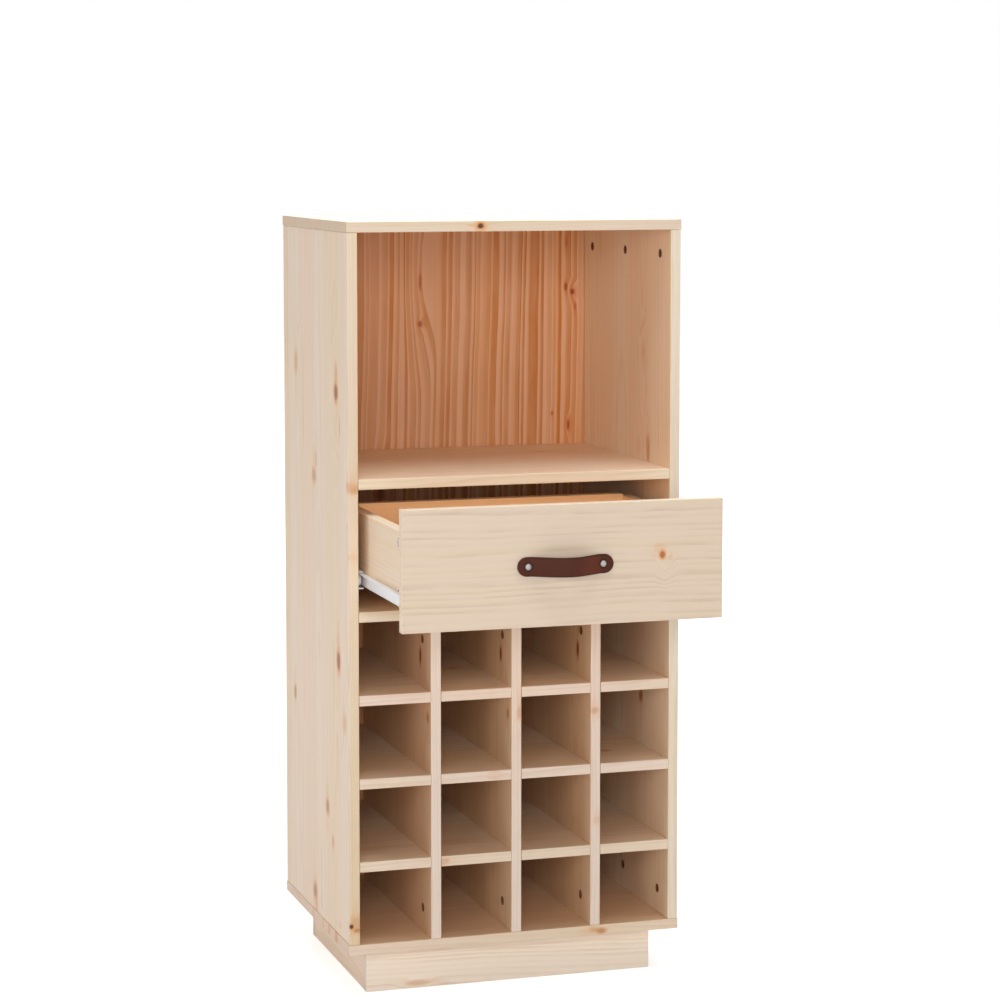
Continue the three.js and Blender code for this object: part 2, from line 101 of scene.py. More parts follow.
class Slot(Enum):
    """The record's material slots."""

    PINE = "pine"
    VENEER = "pine_veneer"
    ENAMEL = "runner_enamel"
    NYLON = "white_nylon"
    CAM = "cam_zinc"
    NICKEL = "screw_nickel"
    LEATHER = "strap_leather"


def linear(colour: Colour) -> tuple[float, float, float, float]:
    """Turns a colour as the eye reads it into the linear values that shaders take.

    Args:
        colour: red, green and blue from 0 to 1, as they show on a screen.

    Returns:
        The linear colour, with full alpha.
    """
    knee, slope, shift, power = 0.04045, 12.92, 0.055, 2.4
    parts = [c / slope if c <= knee else ((c + shift) / (1 + shift)) ** power for c in colour]
    return (*parts, 1.0)


# Node trees as Python expressions


class Signal:
    """A value inside a node tree. Arithmetic on it adds Math nodes."""

    def __init__(self, tree: Tree, socket: bpy.types.NodeSocket) -> None:
        """Wraps an output socket of a node of that tree."""
        self.tree = tree
        self.socket = socket

    def math(self, operation: str, *values: float | Signal) -> Signal:
        """Adds a Math node that works on this signal and up to two more values."""
        inputs = dict(enumerate((self, *values)))
        return self.tree.node("ShaderNodeMath", {"operation": operation}, inputs)["Value"]

    def __add__(self, other: float | Signal) -> Signal:
        """The sum."""
        return self.math("ADD", other)

    def __sub__(self, other: float | Signal) -> Signal:
        """The difference."""
        return self.math("SUBTRACT", other)

    def __rsub__(self, other: float) -> Signal:
        """A number less this signal."""
        return (self * -1) + other

    def __mul__(self, other: float | Signal) -> Signal:
        """The product."""
        return self.math("MULTIPLY", other)

    def __truediv__(self, other: float | Signal) -> Signal:
        """The quotient."""
        return self.math("DIVIDE", other)

    __radd__ = __add__
    __rmul__ = __mul__

    def floor(self) -> Signal:
        """The whole number below."""
        return self.math("FLOOR")

    def fraction(self) -> Signal:
        """What is left above the whole number below."""
        return self.math("FRACT")

    def size(self) -> Signal:
        """The value without its sign."""
        return self.math("ABSOLUTE")

    def root(self) -> Signal:
        """The square root."""
        return self.math("SQRT")

    def larger(self, other: float | Signal) -> Signal:
        """The larger of the two."""
        return self.math("MAXIMUM", other)

    def rise(self, start: float, end: float) -> Signal:
        """Steps smoothly from 0 at start to 1 at end, which may also lie below start.

        Args:
            start: the value up to which the result is 0.
            end: the value from which it is 1.

        Returns:
            The step.
        """
        settings = {"interpolation_type": "SMOOTHSTEP"}
        low, high, first, last = (start, end, 0.0, 1.0) if start < end else (end, start, 1.0, 0.0)
        values = {"Value": self, "From Min": low, "From Max": high, "To Min": first, "To Max": last}
        return self.tree.node("ShaderNodeMapRange", settings, values)["Result"]


Value = float | int | bool | tuple | Vector | bpy.types.ID | Signal


class Tree:
    """A node tree that is written as Python expressions."""

    def __init__(self, nodes: bpy.types.NodeTree) -> None:
        """Starts on an empty node tree."""
        self.nodes = nodes
        self.nodes.nodes.clear()

    def node(
        self,
        kind: str,
        settings: dict[str, object] | None = None,
        values: dict[str | int, Value | list[Signal]] | None = None,
    ) -> dict[str, Signal]:
        """Adds a node.

        Args:
            kind: the node's type.
            settings: properties of the node, which are set before its sockets.
            values: numbers, colours or signals for its inputs, by name or by their order.

        Returns:
            The node's outputs that are in use, by name.
        """
        node = self.nodes.nodes.new(kind)
        for name, setting in (settings or {}).items():
            setattr(node, name, setting)
        inputs = [socket for socket in node.inputs if socket.enabled]
        named = {socket.name: socket for socket in inputs}
        for key, value in (values or {}).items():
            socket = inputs[key] if isinstance(key, int) else named[key]
            for item in value if isinstance(value, list) else [value]:
                if isinstance(item, Signal):
                    self.nodes.links.new(item.socket, socket)
                else:
                    socket.default_value = item
        return {socket.name: Signal(self, socket) for socket in node.outputs if socket.enabled}

    def vector(self, x: float | Signal, y: float | Signal, z: float | Signal) -> Signal:
        """Puts three numbers together as a vector."""
        return self.node("ShaderNodeCombineXYZ", values={0: x, 1: y, 2: z})["Vector"]

    def parts(self, vector: Signal) -> list[Signal]:
        """Takes a vector or a colour apart into three numbers."""
        return list(self.node("ShaderNodeSeparateXYZ", values={0: vector}).values())

    def noise(self, place: Signal, detail: float = 2.0, roughness: float = 0.5) -> Signal:
        """Smooth noise around zero, with a swing of about a half each way."""
        values = {"Vector": place, "Scale": 1.0, "Detail": detail, "Roughness": roughness}
        return self.node("ShaderNodeTexNoise", values=values)["Fac"] - 0.5

    def luck(self, number: Signal) -> list[Signal]:
        """Three random numbers from 0 to 1 that belong to a whole number."""
        settings = {"noise_dimensions": "1D"}
        return self.parts(self.node("ShaderNodeTexWhiteNoise", settings, {"W": number})["Color"])

    def blend(self, share: float | Signal, first: Value, second: Value, how: str = "MIX") -> Signal:
        """Mixes two colours by a share from 0 to 1."""
        settings = {"data_type": "RGBA", "blend_type": how, "clamp_factor": True}
        return self.node("ShaderNodeMix", settings, {0: share, 1: first, 2: second})["Result"]


class Finish(Tree):
    """The node tree of one material."""

    def __init__(self, name: str) -> None:
        """Makes a material with an empty tree.

        Args:
            name: the material's name.
        """
        self.material = bpy.data.materials.new(name)
        self.material.use_nodes = True
        super().__init__(self.material.node_tree)

    def place(self) -> tuple[list[Signal], list[Signal]]:
        """Reads the point that is shaded.

        Returns:
            Where it lies in the frame, in millimetres, and which way its surface faces.
        """
        source = self.node("ShaderNodeTexCoord")
        settings = {"operation": "SCALE"}
        values = {0: source["Object"], "Scale": 1 / MM}
        scaled = self.node("ShaderNodeVectorMath", settings, values)["Vector"]
        return self.parts(scaled), self.parts(source["Normal"])

    def shade(
        self, height: Signal | None = None, relief: float = 0.1, **sockets: Value
    ) -> bpy.types.Material:
        """Ends the tree in a Principled shader.

        Args:
            height: the height of the surface from 0 to 1, for a Bump node.
            relief: how many millimetres a height of 1 stands for.
            sockets: values of the shader's sockets, with _ for a space in the name.

        Returns:
            The finished material.
        """
        values = {name.replace("_", " "): value for name, value in sockets.items()}
        if height is not None:
            bump = {"Strength": 1.0, "Distance": relief * MM, "Height": height}
            values["Normal"] = self.node("ShaderNodeBump", values=bump)["Normal"]
        shader = self.node("ShaderNodeBsdfPrincipled", values=values)["BSDF"]
        self.node("ShaderNodeOutputMaterial", values={"Surface": shader})
        return self.material


# Finishes


@dataclass(frozen=True)
class Knot:
    """Where a branch went through a board, in millimetres of the cabinet's frame.

    An edge knot comes out of the board's front edge, and its place across is measured through
    the thickness, from the board's middle. Reach says how many radii of grain bend round it,
    and bark how black the middle of a dead knot is.
    """

    along: float
    across: float
    radius: float
    stretch: float = 1.25
    depth: float = 1.0
    pull: float = 1.0
    reach: float = 12.0
    edge: bool = False
    bark: float = 0.0

    LEAN_ALONG = 0.2
    LEAN_ASIDE = 0.1
    FLOW_WIDTH = 0.085
    PUSH = 1.2
    TAPER_LENGTH = 3.5
    TAPER = 2.5
    OUTLINE_CRINKLE = 0.7
    FEATHER_CRINKLE = 0.9
    FEATHER_WIDTH = 0.1
    RIPE_FROM = 0.3
    RIPE_POWER = 1.5
    TORN = (0.1, 0.9)
    HALO = (1.8, 0.3)
    HALO_SHARE = 0.5
    RIM = (1.6, 1.0)
    RIM_SHARE = 0.75
    HEART = (1.0, 0.55)
    HEART_SHARE = 0.95
    BARK = (0.8, 0.35)

    def masks(self, along: Signal, aside: Signal, deep: Signal, crinkle: Signal) -> dict[str, Signal]:
        """Works out how the knot colours the wood and bends the rings round it.

        Args:
            along: millimetres along the grain.
            aside: millimetres beside it, on the face that the branch comes out of.
            deep: millimetres into the board, along the branch.
            crinkle: fine noise that breaks up the knot's outline.

        Returns:
            The push on the ring radius, and the shares of halo, rim, heart and bark colour.
        """
        lengthwise = (along - self.along + deep * self.LEAN_ALONG) / (self.radius * self.stretch)
        sidewise = (aside - self.across + deep * self.LEAN_ASIDE) / self.radius
        bend = lengthwise * (self.stretch / self.reach)
        near = (bend * bend + sidewise * sidewise * self.FLOW_WIDTH).root().rise(1.0, 0.05)
        squared = lengthwise * lengthwise, sidewise * sidewise
        far = (squared[0] + squared[1]).root() + crinkle * self.OUTLINE_CRINKLE
        feather = (squared[0] * self.FEATHER_WIDTH + squared[1]).root() + crinkle * self.FEATHER_CRINKLE
        if self.edge:
            taper = deep.rise(0.0, self.radius * self.TAPER_LENGTH) * self.TAPER
            far, feather = far + taper, feather + taper
        torn = (crinkle * 3 + 0.5).rise(*self.TORN)
        ripe = max(0.0, (self.depth - self.RIPE_FROM) / (1 - self.RIPE_FROM)) ** self.RIPE_POWER
        return {
            "push": near * self.radius * self.pull * self.PUSH,
            "halo": feather.rise(*self.HALO) * torn * self.HALO_SHARE * self.depth,
            "rim": far.rise(*self.RIM) * self.RIM_SHARE * self.depth,
            "heart": far.rise(*self.HEART) * self.HEART_SHARE * ripe,
            "bark": far.rise(*self.BARK) * self.bark,
        }


@dataclass(frozen=True)
class Timber:
    """What a kind of pine board looks like: its colours, their shares, and its rings in millimetres."""

    pale: Colour = (0.945, 0.88, 0.815)
    blush: Colour = (0.95, 0.84, 0.765)
    honey: Colour = (0.93, 0.845, 0.71)
    late: Colour = (0.82, 0.645, 0.49)
    line: Colour = (0.62, 0.36, 0.18)
    knot: Colour = (0.86, 0.61, 0.36)
    knot_heart: Colour = (0.53, 0.28, 0.11)
    bark: Colour = (0.29, 0.15, 0.02)
    # Painted light: this warm tint is multiplied onto a board's inward faces and stands for the bounced
    # light and shade inside the cabinet.
    painted_light_tint: Colour = (1.0, 0.96, 0.90)
    # Partly painted light: these multiply a board's broad faces and its edges. Where a kind of board sets
    # its own, they make those faces lighter or darker for the light that reaches them.
    broad: Colour = (0.985, 0.975, 0.955)
    edge: Colour = (0.965, 0.97, 0.975)
    # Painted shade: this colour darkens the walls of the bores as the shade in the holes.
    bore_painted_shade: Colour = (0.46, 0.28, 0.155)
    honey_share: float = 0.6
    honey_streak: float = 0.7
    blush_streak: float = 0.8
    late_share: float = 0.36
    line_share: float = 0.0
    fibre_share: float = 0.14
    dash_share: float = 0.18
    joint_share: float = 0.2
    end_share: float = 0.3
    late_start: float = 0.25
    late_full: float = 0.88
    broken: float = 0.6
    uneven: float = 1.3
    strip_width: float = 70.0
    ring: float = 4.5
    pith_depth: tuple[float, float] = (14.0, 70.0)
    pith_aside: float = 0.0
    wander: float = 14.0
    taper: float = 0.03
    roughness: float = 0.52
    relief: float = 0.12


class Figure(Enum):
    """Noise in the wood: the size of its patches along, across and through, and its detail."""

    CRINKLE = (30, 6, 7, 2)
    DRIFT = (330, 120, 90, 3)
    PATCH = (75, 11, 20, 2)
    BLOOM = (260, 38, 60, 2)
    STREAK = (900, 11, 40, 2)


@dataclass(frozen=True)
class Spot:
    """A point of a board: millimetres along its grain, across it, and through it from its middle.

    The board is glued up from strips. Strip place counts them, with the share of the width as
    its fraction, and apart is what keeps the noise of one strip away from the next one's.
    """

    tree: Finish
    along: Signal
    across: Signal
    through: Signal
    strip_place: Signal
    strip: Signal
    apart: Signal

    def figure(self, kind: Figure) -> Signal:
        """Reads one kind of noise.

        Args:
            kind: which one.

        Returns:
            The noise around zero.
        """
        along, across, through, detail = kind.value
        place = (self.along / along, self.across / across + self.apart, self.through / through)
        return self.tree.noise(self.tree.vector(*place), detail)


@dataclass(frozen=True)
class PineBoard:
    """The finish of one board: the way that its grain runs, its luck and its knots.

    The painted light shares say how far the board's low face and its high face take a warm tint
    that stands for the bounced light and shade inside the cabinet, and each bore has a place and a
    radius, in metres, and a wall painted darker as the shade in the hole.
    """

    name: str
    timber: Timber
    grain: Axis
    face: Axis
    seed: float
    knots: tuple[Knot, ...] = ()
    painted_light_low: float = 0.0
    painted_light_high: float = 0.0
    bores: tuple[tuple[Vector, float], ...] = ()

    FACING = (0.6, 0.95)
    STRIP_APART = 7.31
    JOINT = (0.4955, 0.4985)
    PITH_SPREAD = 1.1
    SWAY_LENGTH = 900
    SWAY = 2.2
    LATE_STOP = (1.0, 0.9)
    LATE_LUCK = (0.75, 0.35)
    LINE_START = (0.84, 0.92)
    LINE_STOP = (1.0, 0.93)
    LINE_LUCK = (0.8, 0.2)
    PATCHY = (-0.22, 0.28)
    GOLDEN = (0.25, 1.1)
    STREAKED = (0.02, 0.2)
    FIBROUS = (0.0, 0.32)
    DASHED = (0.27, 0.36)
    FIBRE_LENGTH = 26
    FIBRE_FINENESS = 1.4
    DASH_LENGTH = 9
    DASH_FINENESS = 2.2
    RING_NOISE_SIZE = 13
    SEASON_STEP = 31
    TONE_STEP = 1.7
    TONE_SEED = 5.0
    BORE_WALL = 1.0
    BORE_BLUR = 0.5
    PAINTED_LIGHT_FACING = (0.5, 0.9)
    HEIGHT_LATE = 0.35
    HEIGHT_FIBRE = 0.5
    HEIGHT_KNOT = 0.3
    ROUGH_FIBRE = 0.16
    ROUGH_LATE = 0.05

    def material(self) -> bpy.types.Material:
        """Builds the board's material.

        Returns:
            The finished material.
        """
        wood = self.timber
        tree = Finish(self.name)
        places, facing = tree.place()
        across_axis = next(axis for axis in Axis if axis not in (self.grain, self.face))
        low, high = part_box(self.name)
        across = places[across_axis.value]
        first = low[across_axis.value] / MM - self.seed % 1 * wood.strip_width
        strip_place = (across - first) / wood.strip_width
        strip = strip_place.floor()
        middle = (low + high)[self.face.value] / 2 / MM
        spot = Spot(
            tree,
            places[self.grain.value],
            across,
            places[self.face.value] - middle,
            strip_place,
            strip,
            strip * self.STRIP_APART + self.seed,
        )
        crinkle = spot.figure(Figure.CRINKLE)
        from_edge = across - low[across_axis.value] / MM
        masks = []
        for knot in self.knots:
            aside, deep = (spot.through, from_edge) if knot.edge else (across, spot.through)
            masks.append(knot.masks(spot.along, aside, deep, crinkle))
        late, line = self.rings(spot, [mask["push"] for mask in masks])
        place = tree.vector(
            spot.along / self.FIBRE_LENGTH,
            across * self.FIBRE_FINENESS,
            spot.through * self.FIBRE_FINENESS + spot.apart,
        )
        fibre = tree.noise(place, 3.0, 0.65)
        base = self.wood_colour(spot, late, line, fibre)

        broad = facing[self.face.value].size().rise(*self.FACING)
        end = facing[self.grain.value].size().rise(*self.FACING)
        joint = (strip_place.fraction() - 0.5).size().rise(*self.JOINT)
        darker = joint * wood.joint_share + end * wood.end_share
        base = tree.blend(darker, base, linear(wood.late))
        # Partly painted light: broad faces and edges take their own multipliers, set per board to stand for
        # how much light reaches them.
        edge_tone_and_painted_light = tree.blend(broad, linear(wood.edge), linear(wood.broad))
        base = tree.blend(1.0, base, edge_tone_and_painted_light, "MULTIPLY")
        height = late * self.HEIGHT_LATE + fibre * self.HEIGHT_FIBRE
        for knot, mask in zip(self.knots, masks):
            base = tree.blend(mask["halo"].larger(mask["rim"]), base, linear(wood.knot))
            base = tree.blend(mask["heart"], base, linear(wood.knot_heart))
            if knot.bark:
                base = tree.blend(mask["bark"], base, linear(wood.bark))
            height = height + mask["heart"] * self.HEIGHT_KNOT
        # Painted shade: the wall of each bore is darkened to stand for the shade inside the hole.
        for place, radius in self.bores:
            aside = spot.along - place[self.grain.value] / MM
            above = across - place[across_axis.value] / MM
            wall = radius / MM + self.BORE_WALL
            painted_bore_shade = (aside * aside + above * above).root().rise(wall + self.BORE_BLUR, wall)
            base = tree.blend(painted_bore_shade * (1 - broad), base, linear(wood.bore_painted_shade))
        # Painted light: the warm tint on the board's inward faces stands for the bounced light and shade
        # inside the cabinet.
        side = facing[self.face.value]
        start, full = self.PAINTED_LIGHT_FACING
        painted_light_tint = side.rise(-start, -full) * self.painted_light_low + side.rise(start, full) * self.painted_light_high
        base = tree.blend(painted_light_tint, base, linear(wood.painted_light_tint), "MULTIPLY")
        rough = wood.roughness + fibre * self.ROUGH_FIBRE - late * self.ROUGH_LATE
        return tree.shade(height, wood.relief, Base_Color=base, Roughness=rough)

    def rings(self, spot: Spot, pushes: list[Signal]) -> tuple[Signal, Signal]:
        """Works out the growth rings, which run through the whole board.

        Args:
            spot: the point of the board.
            pushes: how far each knot pushes the rings.

        Returns:
            The shares of late wood and of the line that ends a ring.
        """
        wood, tree = self.timber, spot.tree
        lucky = tree.luck(spot.strip + self.seed)
        from_pith = spot.strip_place.fraction() - 0.5 - (lucky[0] - 0.5) * self.PITH_SPREAD
        from_pith = from_pith * wood.strip_width + wood.pith_aside
        shallow, deep = wood.pith_depth
        sway = tree.noise(tree.vector(spot.along / self.SWAY_LENGTH, spot.apart, 3.7), 1.0)
        sideways = from_pith + sway * wood.wander * self.SWAY
        downwards = spot.through + lucky[1] * (deep - shallow) + shallow
        radius = (sideways * sideways + downwards * downwards).root()
        radius = radius + spot.figure(Figure.DRIFT) * wood.wander
        radius = radius + spot.along * (lucky[2] - 0.5) * 2 * wood.taper
        for push in pushes:
            radius = radius + push
        ring_noise = tree.noise(tree.vector(radius / self.RING_NOISE_SIZE, spot.apart, 0.5), 1.0)
        ring_place = radius / wood.ring + ring_noise * wood.uneven
        season = tree.luck(ring_place.floor() + spot.strip * self.SEASON_STEP + self.seed)
        part = ring_place.fraction()
        swing, least = self.LATE_LUCK
        late = part.rise(wood.late_start, wood.late_full) * part.rise(*self.LATE_STOP)
        late = late * (season[0] * swing + least)
        swing, least = self.LINE_LUCK
        line = part.rise(*self.LINE_START) * part.rise(*self.LINE_STOP) * (season[1] * swing + least)
        patch = spot.figure(Figure.PATCH)
        late = late * (patch.rise(*self.PATCHY) * wood.broken + (1 - wood.broken))
        return late, line * wood.line_share * (patch + 0.8)

    def wood_colour(self, spot: Spot, late: Signal, line: Signal, fibre: Signal) -> Signal:
        """Mixes the colour of sound wood, with its tone bands, streaks, rings, fibres and dashes.

        Args:
            spot: the point of the board.
            late: the share of late wood.
            line: the share of the line that ends a ring.
            fibre: the noise of the fibres.

        Returns:
            The colour.
        """
        wood, tree = self.timber, spot.tree
        toned = tree.luck(spot.strip * self.TONE_STEP + self.seed + self.TONE_SEED)
        bloom = spot.figure(Figure.BLOOM)
        streak = spot.figure(Figure.STREAK)
        place = tree.vector(
            spot.along / self.DASH_LENGTH,
            spot.across * self.DASH_FINENESS + spot.apart,
            spot.through * self.DASH_FINENESS,
        )
        dash = tree.noise(place, 0.0)
        base = tree.blend(toned[0], linear(wood.pale), linear(wood.blush))
        golden = (bloom * 1.5 + toned[1]).rise(*self.GOLDEN)
        start, full = self.STREAKED
        layers = [
            (golden * wood.honey_share, wood.honey),
            (streak.rise(start, full) * wood.honey_streak, wood.honey),
            (streak.rise(-start, -full) * wood.blush_streak, wood.blush),
            (late * wood.late_share * (bloom * 0.8 + 1), wood.late),
            (fibre.rise(*self.FIBROUS) * wood.fibre_share, wood.late),
            (dash.rise(*self.DASHED) * wood.dash_share, wood.late),
        ]
        if wood.line_share:
            layers.insert(4, (line, wood.line))
        for share, colour in layers:
            base = tree.blend(share, base, linear(colour))
        return base


@dataclass(frozen=True)
class Leather:
    """Oiled saddle leather with burnished edges and a pressed ring round each screw."""

    name: str = "strap_leather"
    face: Colour = (0.305, 0.15, 0.10)
    lighter_tone: Colour = (0.395, 0.185, 0.12)
    dark: Colour = (0.19, 0.09, 0.04)
    ring: tuple[float, float] = (4.0, 6.6)
    ring_blur: tuple[float, float] = (1.0, 1.6)
    rim: tuple[float, float] = (2.6, 0.4)
    # Lighter, redder tone: mixed in by the mottle and in a band along x that fades in from -10 mm and out by
    # 52 mm.
    lighter_band: tuple[tuple[float, float], ...] = ((-10.0, 36.0), (52.0, 38.0))
    mottle_size: tuple[float, float, float] = (26.0, 26.0, 30.0)
    crease_fineness: tuple[float, float, float] = (1.1, 1.1, 0.7)
    pebble_scale: float = 0.95
    pebble_seam: float = 0.16
    pebble_share: float = 0.35
    rim_share: float = 0.8
    ring_share: float = 0.85
    ring_depth: float = 1.6
    relief: float = 0.12
    roughness: float = 0.58
    specular: float = 0.15

    def material(self, screws: list[Vector], edge: float, level: float) -> bpy.types.Material:
        """Builds the leather.

        Args:
            screws: where the two screws go through, in metres.
            edge: the strap's half height, in metres.
            level: the height of the strap's middle line, in metres.

        Returns:
            The finished material.
        """
        tree = Finish(self.name)
        (x, y, z), _ = tree.place()
        spot = tree.vector(x, y, z)
        mottled = (place / size for place, size in zip((x, y, z), self.mottle_size))
        mottle = tree.noise(tree.vector(*mottled), 3.0, 0.5)
        pebble = tree.node(
            "ShaderNodeTexVoronoi",
            {"feature": "DISTANCE_TO_EDGE"},
            {"Vector": spot, "Scale": self.pebble_scale, "Randomness": 1.0},
        )["Distance"]
        creased = (place * fineness for place, fineness in zip((x, y, z), self.crease_fineness))
        crease = tree.noise(tree.vector(*creased), 5.0, 0.7)
        rim = (z - level / MM).size().rise(*(edge / MM - inset for inset in self.rim))
        first, last = self.lighter_band
        lighter_band = x.rise(*first) * x.rise(*last)
        base = tree.blend((mottle + lighter_band * 0.45).rise(-0.1, 0.5), linear(self.face), linear(self.lighter_tone))
        darker = pebble.rise(self.pebble_seam, 0.0) * self.pebble_share + rim * self.rim_share
        base = tree.blend(darker, base, linear(self.dark))
        height = pebble.rise(0.0, 0.22) * 0.5 + crease * 0.6 - rim * 0.4
        for screw in screws:
            aside = x - screw.x / MM
            above = z - screw.z / MM
            reach = (aside * aside + above * above).root()
            (inner, outer), (inner_blur, outer_blur) = self.ring, self.ring_blur
            pressed = reach.rise(inner - inner_blur, inner) * reach.rise(outer, outer - outer_blur)
            base = tree.blend(pressed * self.ring_share, base, linear(self.dark))
            height = height - pressed * self.ring_depth
        rough = self.roughness + crease * 0.2 + mottle * 0.12
        sheen = {"Roughness": rough, "Specular_IOR_Level": self.specular}
        return tree.shade(height, self.relief, Base_Color=base, **sheen)


@dataclass(frozen=True)
class Coated:
    """A plain coat, plated or moulded surface with faint unevenness."""

    name: str
    colour: Colour
    shadow: Colour
    roughness: float
    metallic: float = 0.0
    specular: float = 0.5
    grit: float = 1.6
    relief: float = 0.02
    cloud: float = 14.0
    shadow_share: float = 0.6

    def material(self) -> bpy.types.Material:
        """Builds the material.

        Returns:
            The finished material.
        """
        tree = Finish(self.name)
        (x, y, z), _ = tree.place()
        cloud = tree.noise(tree.vector(x / self.cloud, y / self.cloud, z / self.cloud), 4.0, 0.6)
        grain = tree.noise(tree.vector(x * self.grit, y * self.grit, z * self.grit), 3.0, 0.7)
        base = tree.blend(cloud.rise(0.0, 0.4) * self.shadow_share, linear(self.colour), linear(self.shadow))
        rough = self.roughness + cloud * 0.18 + grain * 0.08
        plain = {"Metallic": self.metallic, "Specular_IOR_Level": self.specular}
        return tree.shade(grain, self.relief, Base_Color=base, Roughness=rough, **plain)


ENAMEL = Coated("runner_enamel", (0.93, 0.93, 0.94), (0.87, 0.87, 0.89), 0.34)
NYLON = Coated("white_nylon", (0.91, 0.90, 0.89), (0.86, 0.85, 0.84), 0.48, grit=0.8)
# Partly painted shade: the cams are dark brown, as dark as the painted shade on the bore walls round them,
# so lock and hole read as one shaded recess.
CAM_SHADE_BROWN = Coated("cam_lacquer", (0.46, 0.28, 0.155), (0.36, 0.21, 0.11), 0.85, specular=0.0)
NICKEL = Coated("screw_nickel", (0.655, 0.635, 0.62), (0.54, 0.52, 0.505), 0.5, metallic=0.4)


# Meshes


def new_object(name: str, data: bpy.types.ID) -> bpy.types.Object:
    """Links a mesh, a lamp or a camera into the scene.

    Args:
        name: the object's name.
        data: its mesh, lamp or camera.

    Returns:
        The new object.
    """
    piece = bpy.data.objects.new(name, data)
    bpy.context.scene.collection.objects.link(piece)
    return piece


def from_bmesh(name: str, form: bmesh.types.BMesh) -> bpy.types.Object:
    """Turns a bmesh into an object whose faces point outwards.

    Args:
        name: the object's name.
        form: the bmesh, which is freed.

    Returns:
        The new object.
    """
    bmesh.ops.recalc_face_normals(form, faces=form.faces)
    mesh = bpy.data.meshes.new(name)
    form.to_mesh(mesh)
    form.free()
    return new_object(name, mesh)


def block(form: bmesh.types.BMesh, low: Vector, high: Vector) -> None:
    """Adds the block between two corners to a bmesh."""
    matrix = Matrix.Translation((low + high) / 2) @ Matrix.Diagonal((*(high - low), 1.0))
    bmesh.ops.create_cube(form, size=1.0, matrix=matrix)


def freeze(piece: bpy.types.Object) -> bpy.types.Object:
    """Replaces the object's mesh by its evaluated one and takes its modifiers off.

    Args:
        piece: the object.

    Returns:
        The same object, with a plain mesh.
    """
    done = piece.evaluated_get(bpy.context.evaluated_depsgraph_get())
    mesh = bpy.data.meshes.new_from_object(done)
    piece.modifiers.clear()
    piece.data = mesh
    mesh.name = piece.name
    return piece


def dress(piece: bpy.types.Object, material: bpy.types.Material) -> None:
    """Gives a piece one material in place of those that it has."""
    piece.data.materials.clear()
    piece.data.materials.append(material)


def hand_over(
    piece: bpy.types.Object,
    body: Body,
    nodes: list[str],
    material: bpy.types.Material,
) -> None:
    """Gives a finished piece its material, its body and the nodes that it stands for.

    Args:
        piece: the finished object.
        body: what it moves with.
        nodes: the model's nodes that it replaces.
        material: its material.
    """
    dress(piece, material)
    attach(piece, body.value)
    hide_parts(*nodes)
    log.info("%s rides on %s: %d faces", piece.name, body.value, len(piece.data.polygons))


def smooth_by_angle(piece: bpy.types.Object, degrees: float = 35.0) -> bpy.types.Object:
    """Shades faces smooth where they meet at less than an angle.

    Args:
        piece: the object.
        degrees: the angle.

    Returns:
        The same object.
    """
    piece.data.shade_smooth()
    piece.data.set_sharp_from_angle(angle=math.radians(degrees))
    return piece


def lathe(name: str, profile: list[tuple[float, float]], place: Vector, axis: Axis) -> bpy.types.Object:
    """Turns a closed profile about an axis.

    Args:
        name: the object's name.
        profile: the distance from the axis and the place along it, point by point.
        place: the middle of the piece.
        axis: the axis that it turns about.

    Returns:
        The new object.
    """
    form = bmesh.new()
    points = [form.verts.new((radius, 0.0, height)) for radius, height in profile]
    edges = [form.edges.new((a, b)) for a, b in zip(points, points[1:] + points[:1])]
    bmesh.ops.spin(
        form,
        geom=points + edges,
        cent=(0, 0, 0),
        axis=(0, 0, 1),
        angle=2 * math.pi,
        steps=ROUND_STEPS,
        use_merge=True,
    )
    bmesh.ops.remove_doubles(form, verts=form.verts, dist=WELD)
    bmesh.ops.transform(form, matrix=axis.matrix(place), verts=form.verts)
    return smooth_by_angle(from_bmesh(name, form))


